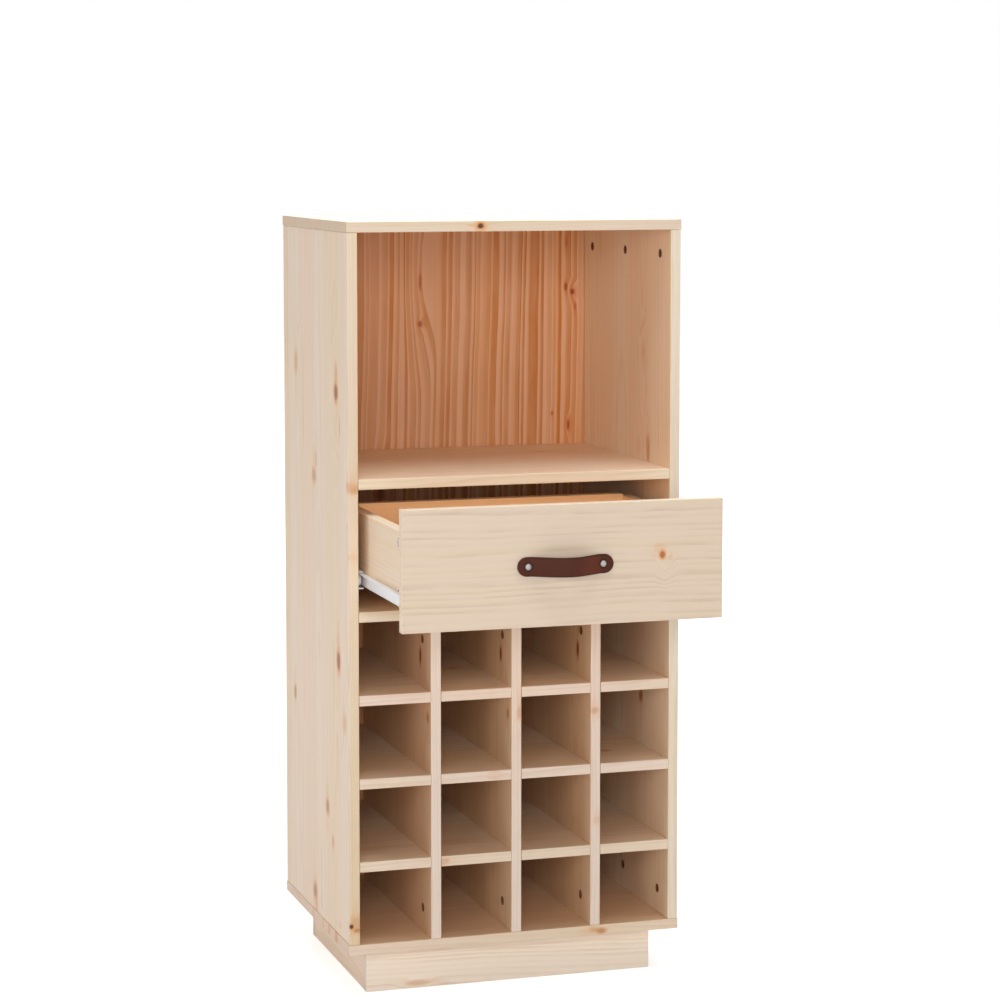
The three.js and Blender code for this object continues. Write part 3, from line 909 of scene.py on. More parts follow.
class Board:
    """One planed board, with the cuts and bores that it takes."""

    LONG_EDGE = 1.0 * MM
    END_EDGE = 0.25 * MM
    EDGE_STEPS = 3

    def __init__(self, node: str, grain: Axis) -> None:
        """Starts from the box of a node.

        Args:
            node: the model's node.
            grain: the axis that the grain runs along.
        """
        self.node = node
        self.grain = grain
        self.low, self.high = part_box(node)
        self.cutters = bmesh.new()
        self.bores: list[tuple[Vector, float]] = []

    @property
    def face(self) -> Axis:
        """The axis through the board's thickness."""
        return Axis.thinnest(self.low, self.high)

    def cut(self, low: Vector, high: Vector) -> None:
        """Cuts away the space between two corners."""
        block(self.cutters, low, high)

    def cut_for(self, node: str, past: Vector | None = None) -> None:
        """Cuts the seat of another node, with the joint's gap all round.

        Args:
            node: the piece that sits in this board.
            past: how much further the cut reaches each way along X, Y and Z.
        """
        low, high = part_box(node)
        room = Vector((SEAT_GAP,) * 3) + (past or Vector())
        self.cut(low - room, high + room)

    def seat(self, cam: str) -> None:
        """Bores the blind seat of a cam lock, from the face that the lock is nearest to.

        Args:
            cam: the lock's node.
        """
        low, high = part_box(cam)
        axis = Axis.thinnest(low, high)
        i = axis.value
        from_low, from_high = low[i] - self.low[i], self.high[i] - high[i]
        start, end = (self.low[i] - OVERRUN, high[i] + SEAT_GAP)
        if from_high < from_low:
            start, end = (low[i] - SEAT_GAP, self.high[i] + OVERRUN)
        radius = (high - low)[(i + 1) % 3] / 2 + SEAT_GAP
        place = (low + high) / 2
        place[i] = (start + end) / 2
        self.bores.append((place, radius))
        bmesh.ops.create_cone(
            self.cutters,
            cap_ends=True,
            segments=ROUND_STEPS,
            radius1=radius,
            radius2=radius,
            depth=end - start,
            matrix=axis.matrix(place),
        )

    def blank(self) -> bpy.types.Object:
        """Makes the uncut board.

        Returns:
            The board, with its edges eased.
        """
        form = bmesh.new()
        block(form, self.low, self.high)
        i = self.grain.value
        long = [e for e in form.edges if abs(e.verts[0].co[i] - e.verts[1].co[i]) > MM]
        bmesh.ops.bevel(
            form, geom=long, offset=self.LONG_EDGE, segments=self.EDGE_STEPS, profile=0.5, affect="EDGES"
        )
        ends = [e for e in form.edges if abs(e.verts[0].co[i] - e.verts[1].co[i]) < SEAT_GAP]
        bmesh.ops.bevel(form, geom=ends, offset=self.END_EDGE, segments=1, profile=0.5, affect="EDGES")
        return from_bmesh(self.node + "_board", form)

    def build(self) -> bpy.types.Object:
        """Makes the board's mesh.

        Returns:
            The board, cut and bored.
        """
        piece = self.blank()
        if not self.cutters.faces:
            return piece
        cutter = from_bmesh("cutter", self.cutters)
        modifier = piece.modifiers.new("cut", "BOOLEAN")
        modifier.operation = "DIFFERENCE"
        modifier.solver = "EXACT"
        modifier.use_self = True
        modifier.object = cutter
        freeze(piece)
        bpy.data.objects.remove(cutter)
        return piece


# Sub-assemblies


@dataclass
class Woodwork:
    """Boards that belong together, cut and dressed one by one."""

    body: Body
    seed: float
    timber: Timber = Timber()

    SEED_STEP = 3.37
    VENEERED = ("back_panel", "drawer_bottom")

    def finish(
        self,
        board: Board,
        knots: tuple[Knot, ...] = (),
        timber: Timber | None = None,
        painted_light_tint: tuple[float, float] = (1.0, 1.0),
    ) -> None:
        """Builds a board, dresses it and hands it over.

        Args:
            board: the board with its cuts.
            knots: its knots.
            timber: its kind of pine, where it isn't the sub-assembly's own.
            painted_light_tint: how far its low face and its high face take the warm tint of painted light.
        """
        self.seed += self.SEED_STEP
        kind = timber or self.timber
        bores = tuple(board.bores)
        look = PineBoard(board.node, kind, board.grain, board.face, self.seed, knots, *painted_light_tint, bores)
        slot = Slot.VENEER if board.node in self.VENEERED else Slot.PINE
        hand_over(board.build(), self.body, [board.node], look.material())


VENEER = Timber(
    pale=(0.91, 0.765, 0.67),
    blush=(0.895, 0.725, 0.615),
    honey=(0.895, 0.69, 0.49),
    late=(0.78, 0.49, 0.16),
    late_share=1.0,
    late_start=0.15,
    late_full=0.6,
    line_share=0.8,
    line=(0.60, 0.32, 0.09),
    broken=0.3,
    uneven=2.4,
    knot=(0.80, 0.44, 0.17),
    knot_heart=(0.50, 0.23, 0.09),
    strip_width=460.0,
    ring=11.0,
    pith_depth=(12.0, 40.0),
    pith_aside=420.0,
    wander=11.0,
    taper=0.012,
    roughness=0.5,
)


@dataclass
class Carcase(Woodwork):
    """Side panels, end panels, back panel and niche shelf."""

    left_knots: tuple[Knot, ...] = (
        Knot(780, -6, 10, 1.3, 1.0),
        Knot(802, -7, 6, 1.8, 0.5),
        Knot(804, 213, 9, 1.7, 0.55),
        Knot(659, 114, 10, 1.0, 0.65),
        Knot(682, 103, 6, 1.6, 0.45),
        Knot(736, -24, 3, 4.0, 0.5),
        Knot(664, -63, 5, 1.2, 0.5),
        Knot(432, -14, 9, 1.7, 1.0),
        Knot(456, -14, 4, 3.0, 0.4),
        Knot(348, 228, 7, 1.5, 0.75),
        Knot(356, -44, 10, 1.2, 0.45),
        Knot(228, 48, 9, 1.2, 0.75),
        Knot(186, 20, 6, 1.4, 0.55),
        Knot(97, 119, 11, 1.1, 0.8),
        Knot(80, 111, 6, 2.0, 0.5),
        Knot(100, 1.5, 7.5, 1.5, 0.55, 0.2, 3.0, True),
        Knot(97, -5.0, 3.4, 1.1, 0.95, 0.4, 3.0, True, 1.0),
        Knot(91.5, 3.0, 4.5, 0.7, 0.7, 0.2, 3.0, True),
        Knot(660, 0, 5, 0.9, 0.5, 0.3, 4.0, True),
        Knot(575, -1, 5, 0.7, 0.35, 0.3, 4.0, True),
    )
    right_knots: tuple[Knot, ...] = (
        Knot(820, 36, 5, 1.1, 0.3),
        Knot(698, 17, 7, 1.5, 0.55),
        Knot(684, 16, 5, 2.2, 0.6),
        Knot(692, 53, 6, 1.6, 0.3),
        Knot(520, 168, 9, 1.3, 0.8),
        Knot(352, 40, 7, 1.4, 0.8),
        Knot(190, 205, 6, 1.3, 0.7),
    )
    back_knots: tuple[Knot, ...] = (
        Knot(935, -30, 10, 1.0, 0.0, 1.9, 21.0),
        Knot(906, -31, 2.2, 6.0, 0.75, 0.0),
        Knot(847, -31.5, 3.6, 1.3, 0.85, 0.8, 5.0),
        Knot(896, 183, 2.6, 2.6, 0.9, 1.0, 7.0),
        Knot(889, 193, 3.6, 1.2, 1.0, 1.8, 7.0),
        Knot(868, 197, 2.2, 3.4, 0.7, 0.6, 9.0),
        Knot(959, 184, 2.0, 4.0, 0.6, 1.0, 12.0),
        Knot(700, 187, 2.4, 3.6, 0.85, 1.8, 12.0),
        Knot(717, 163, 2.0, 1.4, 0.7, 0.5, 6.0),
        Knot(610, -90, 8, 1.3, 0.8, 1.2),
        Knot(390, 110, 9, 1.3, 0.8, 1.2),
        Knot(215, -40, 7, 1.3, 0.8, 1.2),
    )
    # Painted light: these multipliers make single boards' edges and broad faces lighter or darker, to stand
    # for how much light reaches them.
    left_edge: Colour = (0.945, 0.935, 0.895)
    right_edge: Colour = (0.97, 0.995, 1.02)
    end_edge: Colour = (0.93, 0.93, 0.905)
    right_broad: Colour = (1.01, 1.005, 0.98)
    shelf_broad: Colour = (1.02, 1.025, 1.01)
    shelf_edge: Colour = (0.985, 1.02, 0.985)

    def build(self) -> None:
        """Makes every board of the carcase."""
        # The pairs of shares below say how far each board's low and high face take the warm tint of painted
        # light and shade.
        past_back = Vector((0, OVERRUN, OVERRUN))
        left = (self.left_knots, (0, 1), replace(self.timber, edge=self.left_edge))
        right_timber = replace(self.timber, edge=self.right_edge, broad=self.right_broad)
        right = (self.right_knots, (0.4, 0), right_timber)
        for side, (knots, painted_light_tint, timber) in (("left", left), ("right", right)):
            panel = Board(f"{side}_side_panel", Axis.Z)
            panel.cut_for("back_panel", past_back)
            for level in ("upper", "lower"):
                for row in ("front", "middle", "rear"):
                    panel.seat(f"{side}_panel_cam_{level}_{row}")
            self.finish(panel, knots, timber, painted_light_tint)
        top_knots = (
            Knot(-48.0, 0, 6.5, 1.1, 0.55, 0.9, 3.0, True),
            Knot(-48.5, 0.5, 4.4, 1.2, 1.0, 0.0, 3.0, True, 1.0),
            Knot(96, 150, 9, 1.2, 0.5),
            Knot(-150, 60, 6, 1.2, 0.4),
        )
        top_timber = replace(self.timber, edge=self.end_edge)
        self.finish(Board("top_panel", Axis.X), top_knots, top_timber, (1, 0))
        bottom_knots = (
            Knot(117, -1.5, 4.2, 1.7, 0.75, 0.8, 4.0, True),
            Knot(107, 1, 3.5, 2.2, 0.5, 0.2, 4.0, True),
            Knot(-224, 3, 8, 1.0, 0.6),
            Knot(-224, 42, 5, 1.0, 0.5),
            Knot(-224, 75, 4, 1.0, 0.4),
            Knot(-224, 128, 6, 1.0, 0.4),
        )
        self.finish(Board("bottom_panel", Axis.X), bottom_knots, painted_light_tint=(0, 1))
        self.finish(Board("back_panel", Axis.Z), self.back_knots, VENEER)
        shelf = Board("niche_shelf", Axis.X)
        for side in ("left", "right"):
            for row in ("front", "rear"):
                shelf.seat(f"niche_shelf_cam_{side}_{row}")
        shelf_timber = replace(self.timber, broad=self.shelf_broad, edge=self.shelf_edge)
        shelf_knots = (Knot(118, 190, 7, 1.3, 0.5), Knot(-140, 40, 5, 1.3, 0.4))
        self.finish(shelf, shelf_knots, shelf_timber, (1, 0.2))


@dataclass
class BottleRack(Woodwork):
    """The top board, the shelves and the dividers that are halved into them."""

    shelf_knots: dict[str, tuple[Knot, ...]] = field(
        default_factory=lambda: {
            "lower": (Knot(-99, 0, 4.5, 1.8, 0.5, 0.4, 4.0, True), Knot(60, 120, 7, 1.3, 0.6)),
            "middle": (Knot(150, 10, 6, 1.3, 0.6), Knot(-30, 1, 4, 2.0, 0.3, 0.3, 4.0, True)),
            "upper": (Knot(-40, 90, 6, 1.4, 0.6),),
        }
    )
    divider_knots: dict[str, tuple[Knot, ...]] = field(
        default_factory=lambda: {
            "left": (Knot(433, -16, 5, 2.4, 1.0), Knot(358, -51, 6, 1.3, 0.7)),
            "centre": (
                Knot(431, -19, 5, 2.2, 1.0),
                Knot(358, -50, 5, 1.5, 0.7),
                Knot(362, 4, 3, 3.0, 0.55, 0.3, 8.0, True),
            ),
            "right": (
                Knot(430, -13, 5, 2.3, 1.0),
                Knot(359, -1, 5, 1.0, 0.6, 0.3, 4.0, True),
                Knot(213, 2, 4, 1.3, 0.4, 0.3, 4.0, True),
            ),
        }
    )
    # Painted shade: the dividers' faces are darkened to stand for the shade inside the bottle cells.
    divider_mellow: Colour = (0.965, 0.91, 0.835)

    def build(self) -> None:
        """Makes the rack's boards."""
        self.finish(Board("rack_top_board", Axis.X))
        divider_timber = replace(self.timber, painted_light_tint=self.divider_mellow)
        for name, knots in self.shelf_knots.items():
            shelf = Board(f"rack_shelf_{name}", Axis.X)
            middle = (shelf.low.y + shelf.high.y) / 2
            for divider in self.divider_knots:
                low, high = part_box(f"rack_divider_{divider}")
                shelf.cut(
                    Vector((low.x - SEAT_GAP, shelf.low.y - OVERRUN, shelf.low.z - OVERRUN)),
                    Vector((high.x + SEAT_GAP, middle + SEAT_GAP / 2, shelf.high.z + OVERRUN)),
                )
            # Painted shade: the shelves' undersides take the full warm tint, their tops less.
            self.finish(shelf, knots, painted_light_tint=(1, 0.3))
        for name, knots in self.divider_knots.items():
            divider = Board(f"rack_divider_{name}", Axis.Z)
            middle = (divider.low.y + divider.high.y) / 2
            for shelf in self.shelf_knots:
                low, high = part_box(f"rack_shelf_{shelf}")
                divider.cut(
                    Vector((divider.low.x - OVERRUN, middle - SEAT_GAP / 2, low.z - SEAT_GAP)),
                    Vector((divider.high.x + OVERRUN, divider.high.y + OVERRUN, high.z + SEAT_GAP)),
                )
            for level in ("upper", "lower"):
                divider.seat(f"divider_cam_{name}_{level}")
            self.finish(divider, knots, divider_timber)


@dataclass
class Plinth(Woodwork):
    """Four boards on edge, set back under the bottom panel."""

    # Painted light: the front board's colours are lighter than the other boards', to make up for the shade
    # under the overhanging bottom panel.
    front_timber: Timber = Timber(
        pale=(0.99, 0.95, 0.90), blush=(0.985, 0.93, 0.875), honey=(0.98, 0.91, 0.82)
    )

    def build(self) -> None:
        """Makes the plinth's boards."""
        for name, grain in (("front", Axis.X), ("back", Axis.X), ("left", Axis.Y), ("right", Axis.Y)):
            knots = (Knot(-127, 6, 3.5, 4.0, 0.5),) if name == "front" else ()
            timber = self.front_timber if name == "front" else None
            self.finish(Board(f"plinth_{name}", grain), knots, timber, (0, 0))


@dataclass
class Drawer(Woodwork):
    """The drawer's front and box."""

    # Painted highlight: the edge multipliers of the front and of the box are above one, so the drawer's
    # edges show lighter, as if caught by the light.
    front_timber: Timber = Timber(
        pale=(0.885, 0.83, 0.755),
        blush=(0.89, 0.815, 0.745),
        honey=(0.885, 0.82, 0.705),
        late=(0.76, 0.63, 0.53),
        late_share=0.5,
        knot=(0.87, 0.62, 0.37),
        knot_heart=(0.66, 0.39, 0.21),
        strip_width=420.0,
        ring=8.5,
        pith_depth=(30.0, 60.0),
        wander=22.0,
        broken=0.9,
        edge=(1.09, 1.09, 1.07),
    )
    box_timber: Timber = Timber(
        pale=(0.955, 0.88, 0.80),
        blush=(0.95, 0.865, 0.78),
        honey=(0.945, 0.84, 0.72),
        late_share=0.22,
        broad=(1.0, 0.99, 0.97),
        edge=(1.04, 1.07, 1.08),
    )
    # Painted light: this warm, brighter tint on the drawer's inner faces and bottom stands for the light
    # bounced round inside the drawer box.
    inner_painted_light: Colour = (1.06, 0.985, 0.85)
    bottom_painted_light: tuple[float, float] = (0.4, 0.4)
    front_knots: tuple[Knot, ...] = (
        Knot(126, 590, 5.5, 0.75, 1.0, 0.0),
        Knot(122.5, 599, 4.5, 1.4, 0.35, 0.0),
        Knot(137, 586, 3.0, 0.9, 0.35, 0.0),
        Knot(129.5, 573, 9, 0.8, 0.0, -1.3, 1.9),
    )

    def build(self) -> None:
        """Makes the drawer's boards."""
        box_timber = replace(self.box_timber, painted_light_tint=self.inner_painted_light)
        front = Board("drawer_front", Axis.X)
        front.cut_for("drawer_bottom")
        front_timber = replace(self.front_timber, painted_light_tint=self.inner_painted_light)
        self.finish(front, self.front_knots, front_timber, (0, 1))
        for side, painted_light_tint in (("left", (0, 1)), ("right", (1, 0))):
            board = Board(f"drawer_{side}_side", Axis.Y)
            board.cut_for("drawer_bottom", Vector((0, OVERRUN, 0)))
            for level in ("upper", "lower"):
                board.seat(f"drawer_cam_{side}_{level}")
            self.finish(board, timber=box_timber, painted_light_tint=painted_light_tint)
        back = Board("drawer_back", Axis.X)
        back.cut_for("drawer_bottom")
        self.finish(back, timber=box_timber)
        self.finish(Board("drawer_bottom", Axis.X), timber=box_timber, painted_light_tint=self.bottom_painted_light)


@dataclass
class StrapHandle:
    """A leather strap, flat at its screws and bowed between them."""

    flat_end: float = 16 * MM
    thickness: float = 3.2 * MM
    corner: float = 0.9 * MM
    corner_share: float = 0.9
    bow_power: float = 1.5
    bow_steps: int = 36
    end_steps: int = 10
    corner_steps: int = 4
    tip: float = 0.3 * MM
    slope_step: float = 0.05 * MM
    smooth_angle: float = 50.0

    def bow(self, x: float) -> float:
        """How far the strap stands off at a place along it.

        Args:
            x: the place, from the strap's middle.

        Returns:
            The share of its full bow.
        """
        low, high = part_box("handle_strap")
        share = min(1.0, abs(x) / ((high.x - low.x) / 2 - self.flat_end))
        return (1 - share * share) ** self.bow_power

    def build(self) -> None:
        """Makes the strap."""
        low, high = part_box("handle_strap")
        half_length = (high.x - low.x) / 2
        half_height = (high.z - low.z) / 2
        level = (low.z + high.z) / 2
        depth = high.y - low.y - self.thickness
        inner = half_length - half_height
        places = [inner * (2 * i / self.bow_steps - 1) for i in range(self.bow_steps + 1)]
        angles = [math.pi / 2 * (i + 1) / (self.end_steps + 1) for i in range(self.end_steps)]
        tips = [inner + half_height * math.sin(a) for a in angles]
        stations = [-x for x in reversed(tips)] + places + tips
        form = bmesh.new()
        loops = []
        for x in stations:
            reach = max(0.0, abs(x) - inner)
            half = math.sqrt(max(half_height**2 - reach**2, self.tip**2))
            step = self.slope_step
            slope = (self.bow(x + step) - self.bow(x - step)) / (2 * step) * depth
            normal = Vector((slope, 1.0, 0.0)).normalized()
            centre = Vector((x, high.y - self.thickness / 2 - self.bow(x) * depth, level))
            outline = [centre + normal * n + Vector((0, 0, z)) for n, z in self.section(half)]
            loops.append([form.verts.new(point) for point in outline])
        for one, two in zip(loops, loops[1:]):
            for a, b, c, d in zip(one, one[1:] + one[:1], two[1:] + two[:1], two):
                form.faces.new((a, b, c, d))
        form.faces.new(loops[0])
        form.faces.new(loops[-1])
        piece = smooth_by_angle(from_bmesh("leather_strap", form), self.smooth_angle)
        screws = [sum(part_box(f"handle_screw_{side}"), Vector()) / 2 for side in ("left", "right")]
        look = Leather().material(screws, half_height, level)
        hand_over(piece, Body.DRAWER, ["handle_strap"], look)

    def section(self, half: float) -> list[tuple[float, float]]:
        """The outline of the strap at one station: offsets through it and up it.

        Args:
            half: half the strap's height there.

        Returns:
            The points of a rounded rectangle.
        """
        corner = min(self.corner, half * self.corner_share)
        points = []
        for turn, (n, z) in enumerate(((1, 1), (-1, 1), (-1, -1), (1, -1))):
            middle = (n * (self.thickness / 2 - corner), z * (half - corner))
            for i in range(self.corner_steps + 1):
                angle = math.pi / 2 * (turn + i / self.corner_steps)
                points.append((middle[0] + corner * math.cos(angle), middle[1] + corner * math.sin(angle)))
        return points


class NodeForm(Tree):
    """A Geometry Nodes tree that repeats a shape on the points of a mesh."""

    def __init__(self, name: str, sizes: dict[str, float]) -> None:
        """Makes the group with a named input for each size.

        Args:
            name: the group's name.
            sizes: what each size is called, and how large it is.
        """
        super().__init__(bpy.data.node_groups.new(name, "GeometryNodeTree"))
        face = self.nodes.interface
        shape = face.new_socket("Geometry", in_out="INPUT", socket_type="NodeSocketGeometry")
        self.sockets = {"Geometry": shape}
        face.new_socket("Geometry", in_out="OUTPUT", socket_type="NodeSocketGeometry")
        for size in sizes:
            self.sockets[size] = face.new_socket(size, in_out="INPUT", socket_type="NodeSocketFloat")
        coat = face.new_socket("Material", in_out="INPUT", socket_type="NodeSocketMaterial")
        self.sockets["Material"] = coat
        self.sizes = sizes
        self.given = self.node("NodeGroupInput")

    def repeat(self, shape: Signal) -> None:
        """Sets the shape on every point, turned to the point's facing, as plain mesh.

        Args:
            shape: the shape, with its front towards +Z.
        """
        kind = {"data_type": "FLOAT_VECTOR"}
        facing = self.node("GeometryNodeInputNamedAttribute", kind, {"Name": "facing"})
        turn = self.node("FunctionNodeAlignRotationToVector", {"axis": "Z"}, {"Vector": facing["Attribute"]})
        placed = self.node(
            "GeometryNodeInstanceOnPoints",
            values={"Points": self.given["Geometry"], "Instance": shape, "Rotation": turn["Rotation"]},
        )
        real = self.node("GeometryNodeRealizeInstances", values={"Geometry": placed["Instances"]})
        done = self.node(
            "GeometryNodeSetMaterial",
            values={"Geometry": real["Geometry"], "Material": self.given["Material"]},
        )
        self.node("NodeGroupOutput", values={"Geometry": done["Geometry"]})

    def slotted(self, shape: Signal, top: Signal, width: Signal, length: Signal, depth: Signal) -> Signal:
        """Cuts two crossed slots into the top of a shape.

        Args:
            shape: the shape to cut.
            top: the height of its top.
            width: the slots' width.
            length: the slots' length.
            depth: how deep they are.

        Returns:
            The cut shape.
        """
        bars = []
        for x, y in ((length, width), (width, length)):
            cube = self.node("GeometryNodeMeshCube", values={"Size": self.vector(x, y, depth * 2)})["Mesh"]
            move = {"Geometry": cube, "Translation": self.vector(0.0, 0.0, top)}
            bars.append(self.node("GeometryNodeTransform", values=move)["Geometry"])
        settings = {"operation": "DIFFERENCE", "solver": "EXACT"}
        return self.node("GeometryNodeMeshBoolean", settings, {"Mesh 1": shape, "Mesh 2": bars})["Mesh"]

    def apply(
        self, name: str, points: list[tuple[Vector, Vector]], material: bpy.types.Material
    ) -> bpy.types.Object:
        """Runs the tree on points and keeps its result as a plain mesh.

        Args:
            name: the new object's name.
            points: each point and the way that it faces.
            material: the shapes' material.

        Returns:
            The new object.
        """
        mesh = bpy.data.meshes.new(name)
        mesh.from_pydata([place for place, _ in points], [], [])
        facing = mesh.attributes.new("facing", "FLOAT_VECTOR", "POINT")
        facing.data.foreach_set("vector", [part for _, way in points for part in way])
        piece = new_object(name, mesh)
        modifier = piece.modifiers.new("repeat", "NODES")
        modifier.node_group = self.nodes
        for size, value in self.sizes.items():
            modifier[self.sockets[size].identifier] = value
        modifier[self.sockets["Material"].identifier] = material
        return freeze(piece)


@dataclass
class CamLocks:
    """The round locks in their bores, their faces crossed by two slots."""

    slot_width: float = 1.6 * MM
    slot_length: float = 7.0 * MM
    slot_depth: float = 1.5 * MM
    facets: int = 40

    def locks(self, name: str, nodes: list[str], coat: Coated, body: Body) -> None:
        """Makes all the locks of one body.

        Args:
            name: the new object's name.
            nodes: the model's cam locks.
            coat: their finish.
            body: what they move with.
        """
        low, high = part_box(nodes[0])
        sizes = sorted(high - low)
        form = NodeForm(
            name,
            {
                "Diameter": sizes[-1],
                "Thickness": sizes[0],
                "Slot Width": self.slot_width,
                "Slot Length": self.slot_length,
                "Slot Depth": self.slot_depth,
            },
        )
        given = form.given
        disc = form.node(
            "GeometryNodeMeshCylinder",
            values={"Vertices": self.facets, "Radius": given["Diameter"] * 0.5, "Depth": given["Thickness"]},
        )["Mesh"]
        top = given["Thickness"] * 0.5
        cut = form.slotted(disc, top, given["Slot Width"], given["Slot Length"], given["Slot Depth"])
        form.repeat(cut)
        look = coat.material()
        piece = form.apply(name, [self.place(node) for node in nodes], look)
        hand_over(piece, body, nodes, look)

    @staticmethod
    def place(node: str) -> tuple[Vector, Vector]:
        """Places a lock.

        Args:
            node: the lock's node.

        Returns:
            Where it sits, and which way its open face looks.
        """
        low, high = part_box(node)
        towards = {"left_panel": 1, "right_panel": -1, "divider": -1, "niche_shelf": -1}
        towards |= {"drawer_cam_left": -1, "drawer_cam_right": 1}
        sign = next(way for start, way in towards.items() if node.startswith(start))
        return (low + high) / 2, Axis.thinnest(low, high).vector * sign

    def build(self) -> None:
        """Makes the dark locks of the cabinet and the white ones of the drawer."""
        names = sorted(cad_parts)
        white = [name for name in names if name.startswith("drawer_cam")]
        dark = [name for name in names if "cam_" in name and name not in white]
        self.locks("cam_locks", dark, CAM_SHADE_BROWN, Body.CABINET)
        self.locks("drawer_cam_locks", white, NYLON, Body.DRAWER)


@dataclass
class Screws:
    """The strap's two screws, with plain domed heads."""

    diameter: float = 8 * MM
    dome: float = 2.4 * MM
    segments: int = 32
    rings: int = 16
    smooth_angle: float = 40.0

    def build(self) -> None:
        """Makes the heads on the strap's outer face."""
        nodes = ["handle_screw_left", "handle_screw_right"]
        strap_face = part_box("handle_strap")[1].y - StrapHandle.thickness
        points = []
        for node in nodes:
            low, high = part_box(node)
            middle = (low + high) / 2
            points.append((Vector((middle.x, strap_face, middle.z)), Vector((0, -1, 0))))
        form = NodeForm("strap_screws", {"Diameter": self.diameter, "Height": self.dome})
        ball_sizes = {"Segments": self.segments, "Rings": self.rings, "Radius": 1.0}
        ball = form.node("GeometryNodeMeshUVSphere", values=ball_sizes)["Mesh"]
        half = form.given["Diameter"] * 0.5
        scale = {"Geometry": ball, "Scale": form.vector(half, half, form.given["Height"])}
        form.repeat(form.node("GeometryNodeTransform", values=scale)["Geometry"])
        look = NICKEL.material()
        heads = smooth_by_angle(form.apply("strap_screws", points, look), self.smooth_angle)
        hand_over(heads, Body.DRAWER, nodes, look)


@dataclass
class RollerRunners:
    """Bent sheet runners with a riveted roller each, grooved on both faces."""

    roller_bore: float = 2.5 * MM
    hub: float = 4.4 * MM
    groove: float = 0.4 * MM
    eased: float = 0.7 * MM
    eased_bulge: float = 0.3

    def build(self) -> None:
        """Dresses the runners and makes the rollers."""
        enamel = ENAMEL.material()
        nylon = NYLON.material()
        for side in ("left", "right"):
            for part in ("cabinet", "drawer"):
                dress(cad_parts[f"{side}_{part}_runner"], enamel)
                self.roller(side, part, nylon)

    def roller(self, side: str, part: str, material: bpy.types.Material) -> None:
        """Makes one roller.

        Args:
            side: left or right.
            part: what carries it, cabinet or drawer.
            material: its finish.
        """
        node = f"{side}_{part}_roller"
        low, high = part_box(node)
        radius, half = (high.z - low.z) / 2, (high.x - low.x) / 2
        groove, eased = self.groove, self.eased
        outer = [
            (self.roller_bore, half),
            (self.hub, half),
            (self.hub + groove, half - groove),
            (radius - eased - groove, half - groove),
            (radius - eased, half),
            (radius - eased * self.eased_bulge, half - eased * self.eased_bulge),
            (radius, half - eased),
        ]
        profile = [(distance, -place) for distance, place in outer] + outer[::-1]
        piece = lathe(f"{node}_wheel", profile, (low + high) / 2, Axis.X)
        hand_over(piece, Body(node), [node], material)


# Studio


@dataclass(frozen=True)
class Softbox:
    """A square lamp that looks at the cabinet: degrees round it from the front, and above it."""

    name: str
    azimuth: float
    elevation: float
    distance: float
    size: float
    power: float


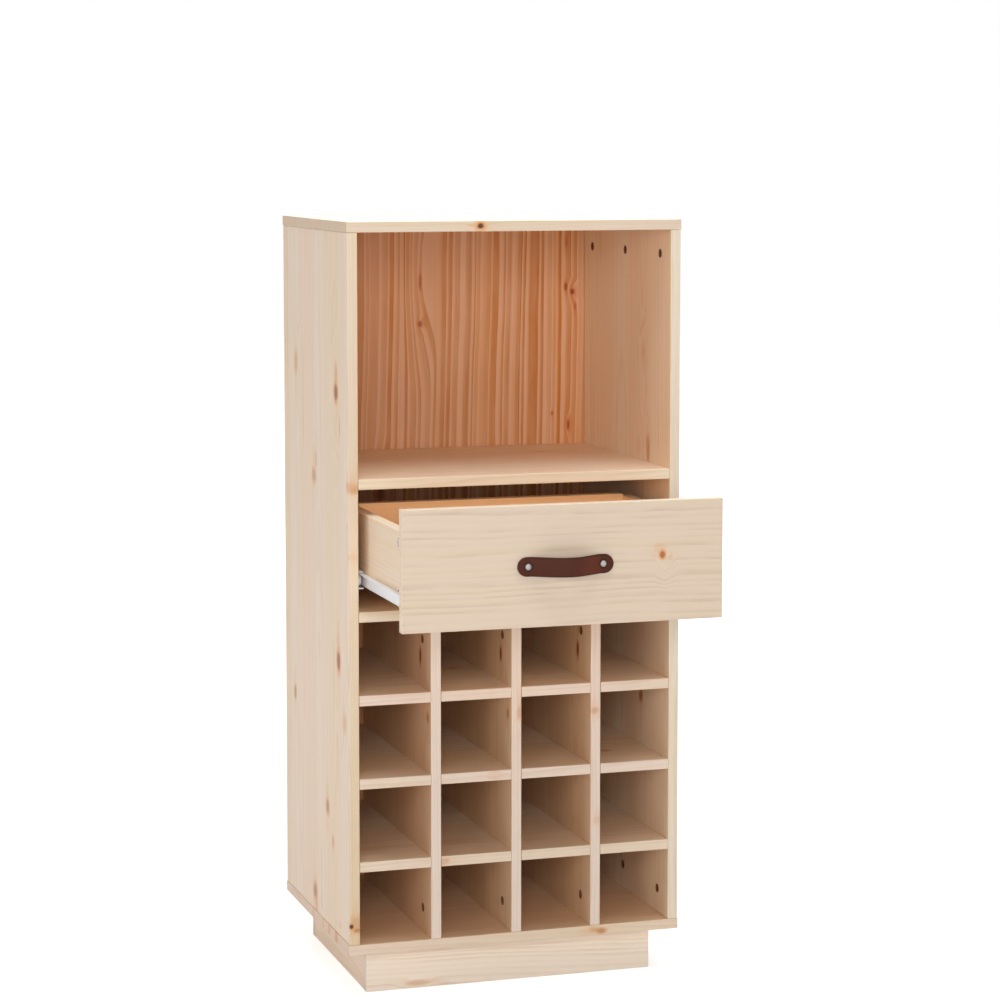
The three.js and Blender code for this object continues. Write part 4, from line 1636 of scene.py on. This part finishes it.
@dataclass
class Studio:
    """A white room with soft light, and the camera at the photograph's angle."""

    camera_place: tuple[float, float, float] = (-1.129, -3.5887, 1.0979)
    camera_turn: float = 17.435
    camera_dip: float = 5.069
    camera_lens: float = 104.018
    camera_shift: float = -0.10
    world_light: float = 0.12
    floor_size: float = 12.0
    floor_colour: Colour = (0.96, 0.96, 0.96)
    floor_glow: float = 0.55
    floor_roughness: float = 0.9
    shadow_reach: tuple[float, float] = (0.8, 2.4)
    aim: tuple[float, float, float] = (0.0, 0.0, 0.55)
    softboxes: tuple[Softbox, ...] = (
        Softbox("front", -13.0, 10.5, 4.5, 1.7, 63.0),
        Softbox("front_left", -42.0, 12.0, 4.5, 1.6, 24.0),
        Softbox("top", 0.0, 78.0, 3.0, 2.2, 64.0),
        Softbox("left", -88.0, 18.0, 4.0, 1.8, 29.0),
        Softbox("right", 60.0, 15.0, 4.5, 2.2, 12.0),
        Softbox("rear", 160.0, 25.0, 4.5, 2.2, 45.0),
    )

    def build(self) -> None:
        """Makes the floor, the light and the camera."""
        self.floor()
        self.world()
        for softbox in self.softboxes:
            self.lamp(softbox)
        self.camera()

    def floor(self) -> None:
        """Lays a pale floor that shows as white but for the cabinet's shadow."""
        form = bmesh.new()
        bmesh.ops.create_grid(form, x_segments=1, y_segments=1, size=self.floor_size)
        piece = from_bmesh("floor", form)
        tree = Finish("floor_white")
        (x, y, _), _ = tree.place()
        away = (x * x + y * y).root().rise(*(reach / MM for reach in self.shadow_reach))
        shown = tree.blend(away, (self.floor_glow,) * 3 + (1.0,), (1.0,) * 4)
        glow = tree.blend(self.sight(tree), (0.0, 0.0, 0.0, 1.0), shown)
        look = {"Base_Color": linear(self.floor_colour), "Roughness": self.floor_roughness}
        piece.data.materials.append(tree.shade(Emission_Color=glow, Emission_Strength=1.0, **look))

    @staticmethod
    def sight(tree: Tree) -> Signal:
        """Whether a ray is one of sight, seen straight, in a reflection or through glass."""
        rays = tree.node("ShaderNodeLightPath")
        return rays["Is Camera Ray"].larger(rays["Is Glossy Ray"]).larger(rays["Is Transmission Ray"])

    def world(self) -> None:
        """Lights the room evenly, and shows pure white where a ray of sight leaves it."""
        world = bpy.data.worlds.new("white_room")
        bpy.context.scene.world = world
        world.use_nodes = True
        tree = Tree(world.node_tree)
        strength = self.sight(tree) * (1.0 - self.world_light) + self.world_light
        values = {"Color": (1.0, 1.0, 1.0, 1.0), "Strength": strength}
        light = tree.node("ShaderNodeBackground", values=values)["Background"]
        tree.node("ShaderNodeOutputWorld", values={"Surface": light})

    def lamp(self, softbox: Softbox) -> None:
        """Hangs a softbox.

        Args:
            softbox: its place, size and power.
        """
        light = bpy.data.lights.new(softbox.name, "AREA")
        light.size = softbox.size
        light.energy = softbox.power
        lamp = new_object(softbox.name, light)
        azimuth, elevation = math.radians(softbox.azimuth), math.radians(softbox.elevation)
        flat = math.cos(elevation)
        away = Vector((math.sin(azimuth) * flat, -math.cos(azimuth) * flat, math.sin(elevation)))
        turn = (-away).to_track_quat("-Z", "Y").to_matrix().to_4x4()
        lamp.matrix_world = Matrix.Translation(Vector(self.aim) + away * softbox.distance) @ turn

    def camera(self) -> None:
        """Sets the camera where the photograph was taken from."""
        lens = bpy.data.cameras.new("photo_view")
        lens.lens = self.camera_lens
        lens.shift_y = self.camera_shift
        camera = new_object("photo_view", lens)
        camera.location = self.camera_place
        camera.rotation_euler = (math.radians(90 - self.camera_dip), 0, math.radians(-self.camera_turn))
        bpy.context.scene.camera = camera
        bpy.context.scene.view_settings.view_transform = "Standard"


def main() -> None:
    """Builds and dresses the cabinet, sub-assembly by sub-assembly."""
    logging.basicConfig(level=logging.INFO, format="%(message)s")
    Studio().build()
    Carcase(Body.CABINET, seed=2.0).build()
    BottleRack(Body.CABINET, seed=40.0).build()
    Plinth(Body.CABINET, seed=90.0).build()
    Drawer(Body.DRAWER, seed=120.0).build()
    StrapHandle().build()
    Screws().build()
    CamLocks().build()
    RollerRunners().build()


if __name__ == "__main__":
    main()
